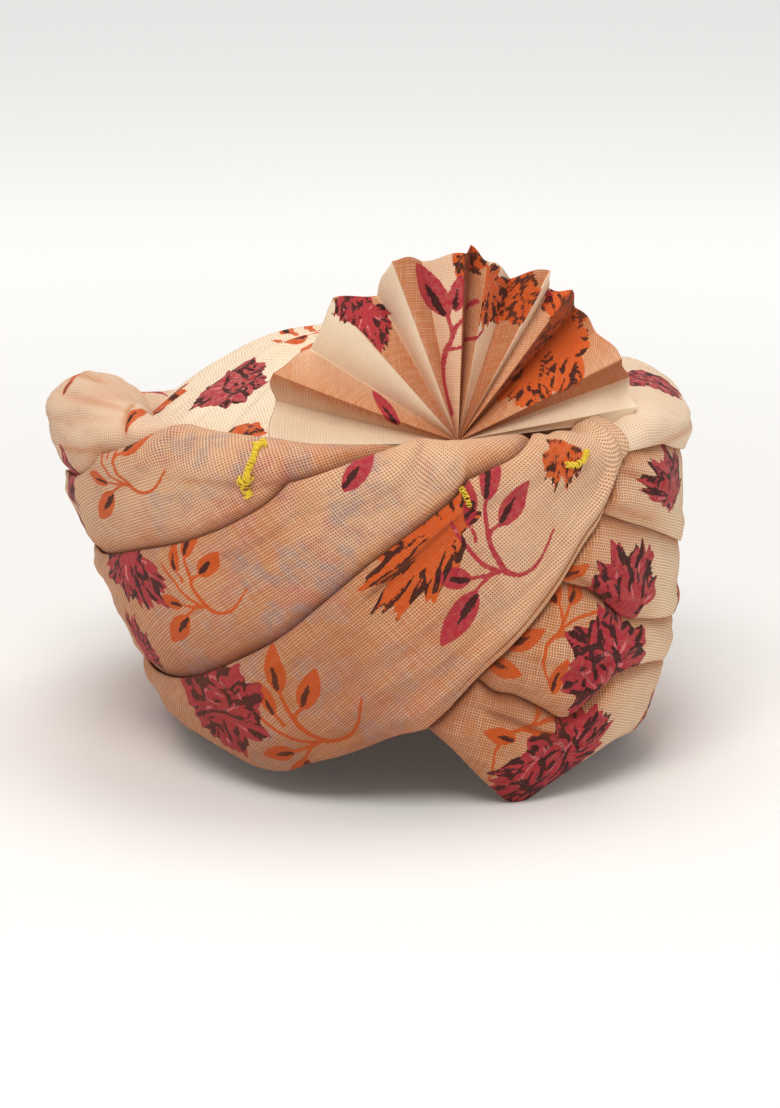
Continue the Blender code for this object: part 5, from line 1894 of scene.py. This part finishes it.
def build_stage() -> None:
    """Pale floor with painted light that glows more away from the middle, soft lights and a pale sky."""
    mesh = bpy.data.meshes.new("floor")
    far = 6.0
    mesh.from_pydata([(-far, -far, 0), (far, -far, 0), (far, far, 0), (-far, far, 0)], [], [(0, 1, 2, 3)])
    floor = bpy.data.objects.new("floor", mesh)
    bpy.context.scene.collection.objects.link(floor)
    material = bpy.data.materials.new("floor")
    material.use_nodes = True
    shader = material.node_tree.nodes["Principled BSDF"]
    shader.inputs["Base Color"].default_value = (0.90, 0.90, 0.89, 1)
    shader.inputs["Roughness"].default_value = 0.9
    n = Nodes(material.node_tree)
    place = n.add("ShaderNodeTexCoord").outputs["Object"]
    away = n.add("ShaderNodeVectorMath", operation="LENGTH", in_0=place)
    # painted light: the floor glows, faintly near the middle and more further out
    glow = n.smooth(away.outputs["Value"], 0.18, 1.3, 0.03, 0.36)
    shader.inputs["Emission Color"].default_value = (1.0, 1.0, 1.0, 1)
    material.node_tree.links.new(glow, shader.inputs["Emission Strength"])
    mesh.materials.append(material)
    for name, spot, aim, power, size, colour in (
            ("key", (-0.45, -0.95, 1.5), (0, -0.02, 0.10), 15.5, 0.8, (1.0, 0.97, 0.93)),
            ("fill", (1.5, -0.9, 0.7), (0, 0, 0.09), 3.0, 1.2, (1.0, 0.96, 0.92)),
            ("top", (0.1, 0.25, 1.7), (0, 0, 0.15), 9.5, 0.9, (1.0, 0.98, 0.95))):
        data = bpy.data.lights.new(name, "AREA")
        data.energy = power
        data.size = size
        data.color = colour
        light = bpy.data.objects.new(name, data)
        bpy.context.scene.collection.objects.link(light)
        light.location = spot
        light.rotation_mode = "QUATERNION"
        light.rotation_quaternion = (Vector(aim) - Vector(spot)).to_track_quat("-Z", "Y")
    world = bpy.data.worlds.new("studio")
    world.use_nodes = True
    world.node_tree.nodes["Background"].inputs[0].default_value = (1.0, 0.98, 0.96, 1)
    world.node_tree.nodes["Background"].inputs[1].default_value = 0.42
    bpy.context.scene.world = world
    bpy.context.scene.view_settings.view_transform = "Standard"


def main() -> None:
    """Build the cloth, the threads and the stage."""
    logging.basicConfig(level=logging.INFO, format="%(name)s %(message)s")
    build_camera(Shot())
    build_stage()
    finisher = Finisher()
    pleats, pale = finisher.gauze(PLEAT_GAUZE), finisher.gauze(PALE_GAUZE)
    stiff = finisher.gauze(FAN_GAUZE)
    for spec in bands():
        Band(spec).build(pale if spec.slot == "pale_cloth" else pleats)
    Wrap("inner_wrap", "wrap_cloth").build(pleats)
    Crown("crown_cloth", "pale_cloth").build(pale)
    Fan("turra_fan", "fan_cloth").build(stiff)
    thread = finisher.thread()
    tree, names = thread_tree(thread)
    for tack in TACKS:
        wind_tack(tack, tree, names, thread)


if __name__ == "__main__":
    main()
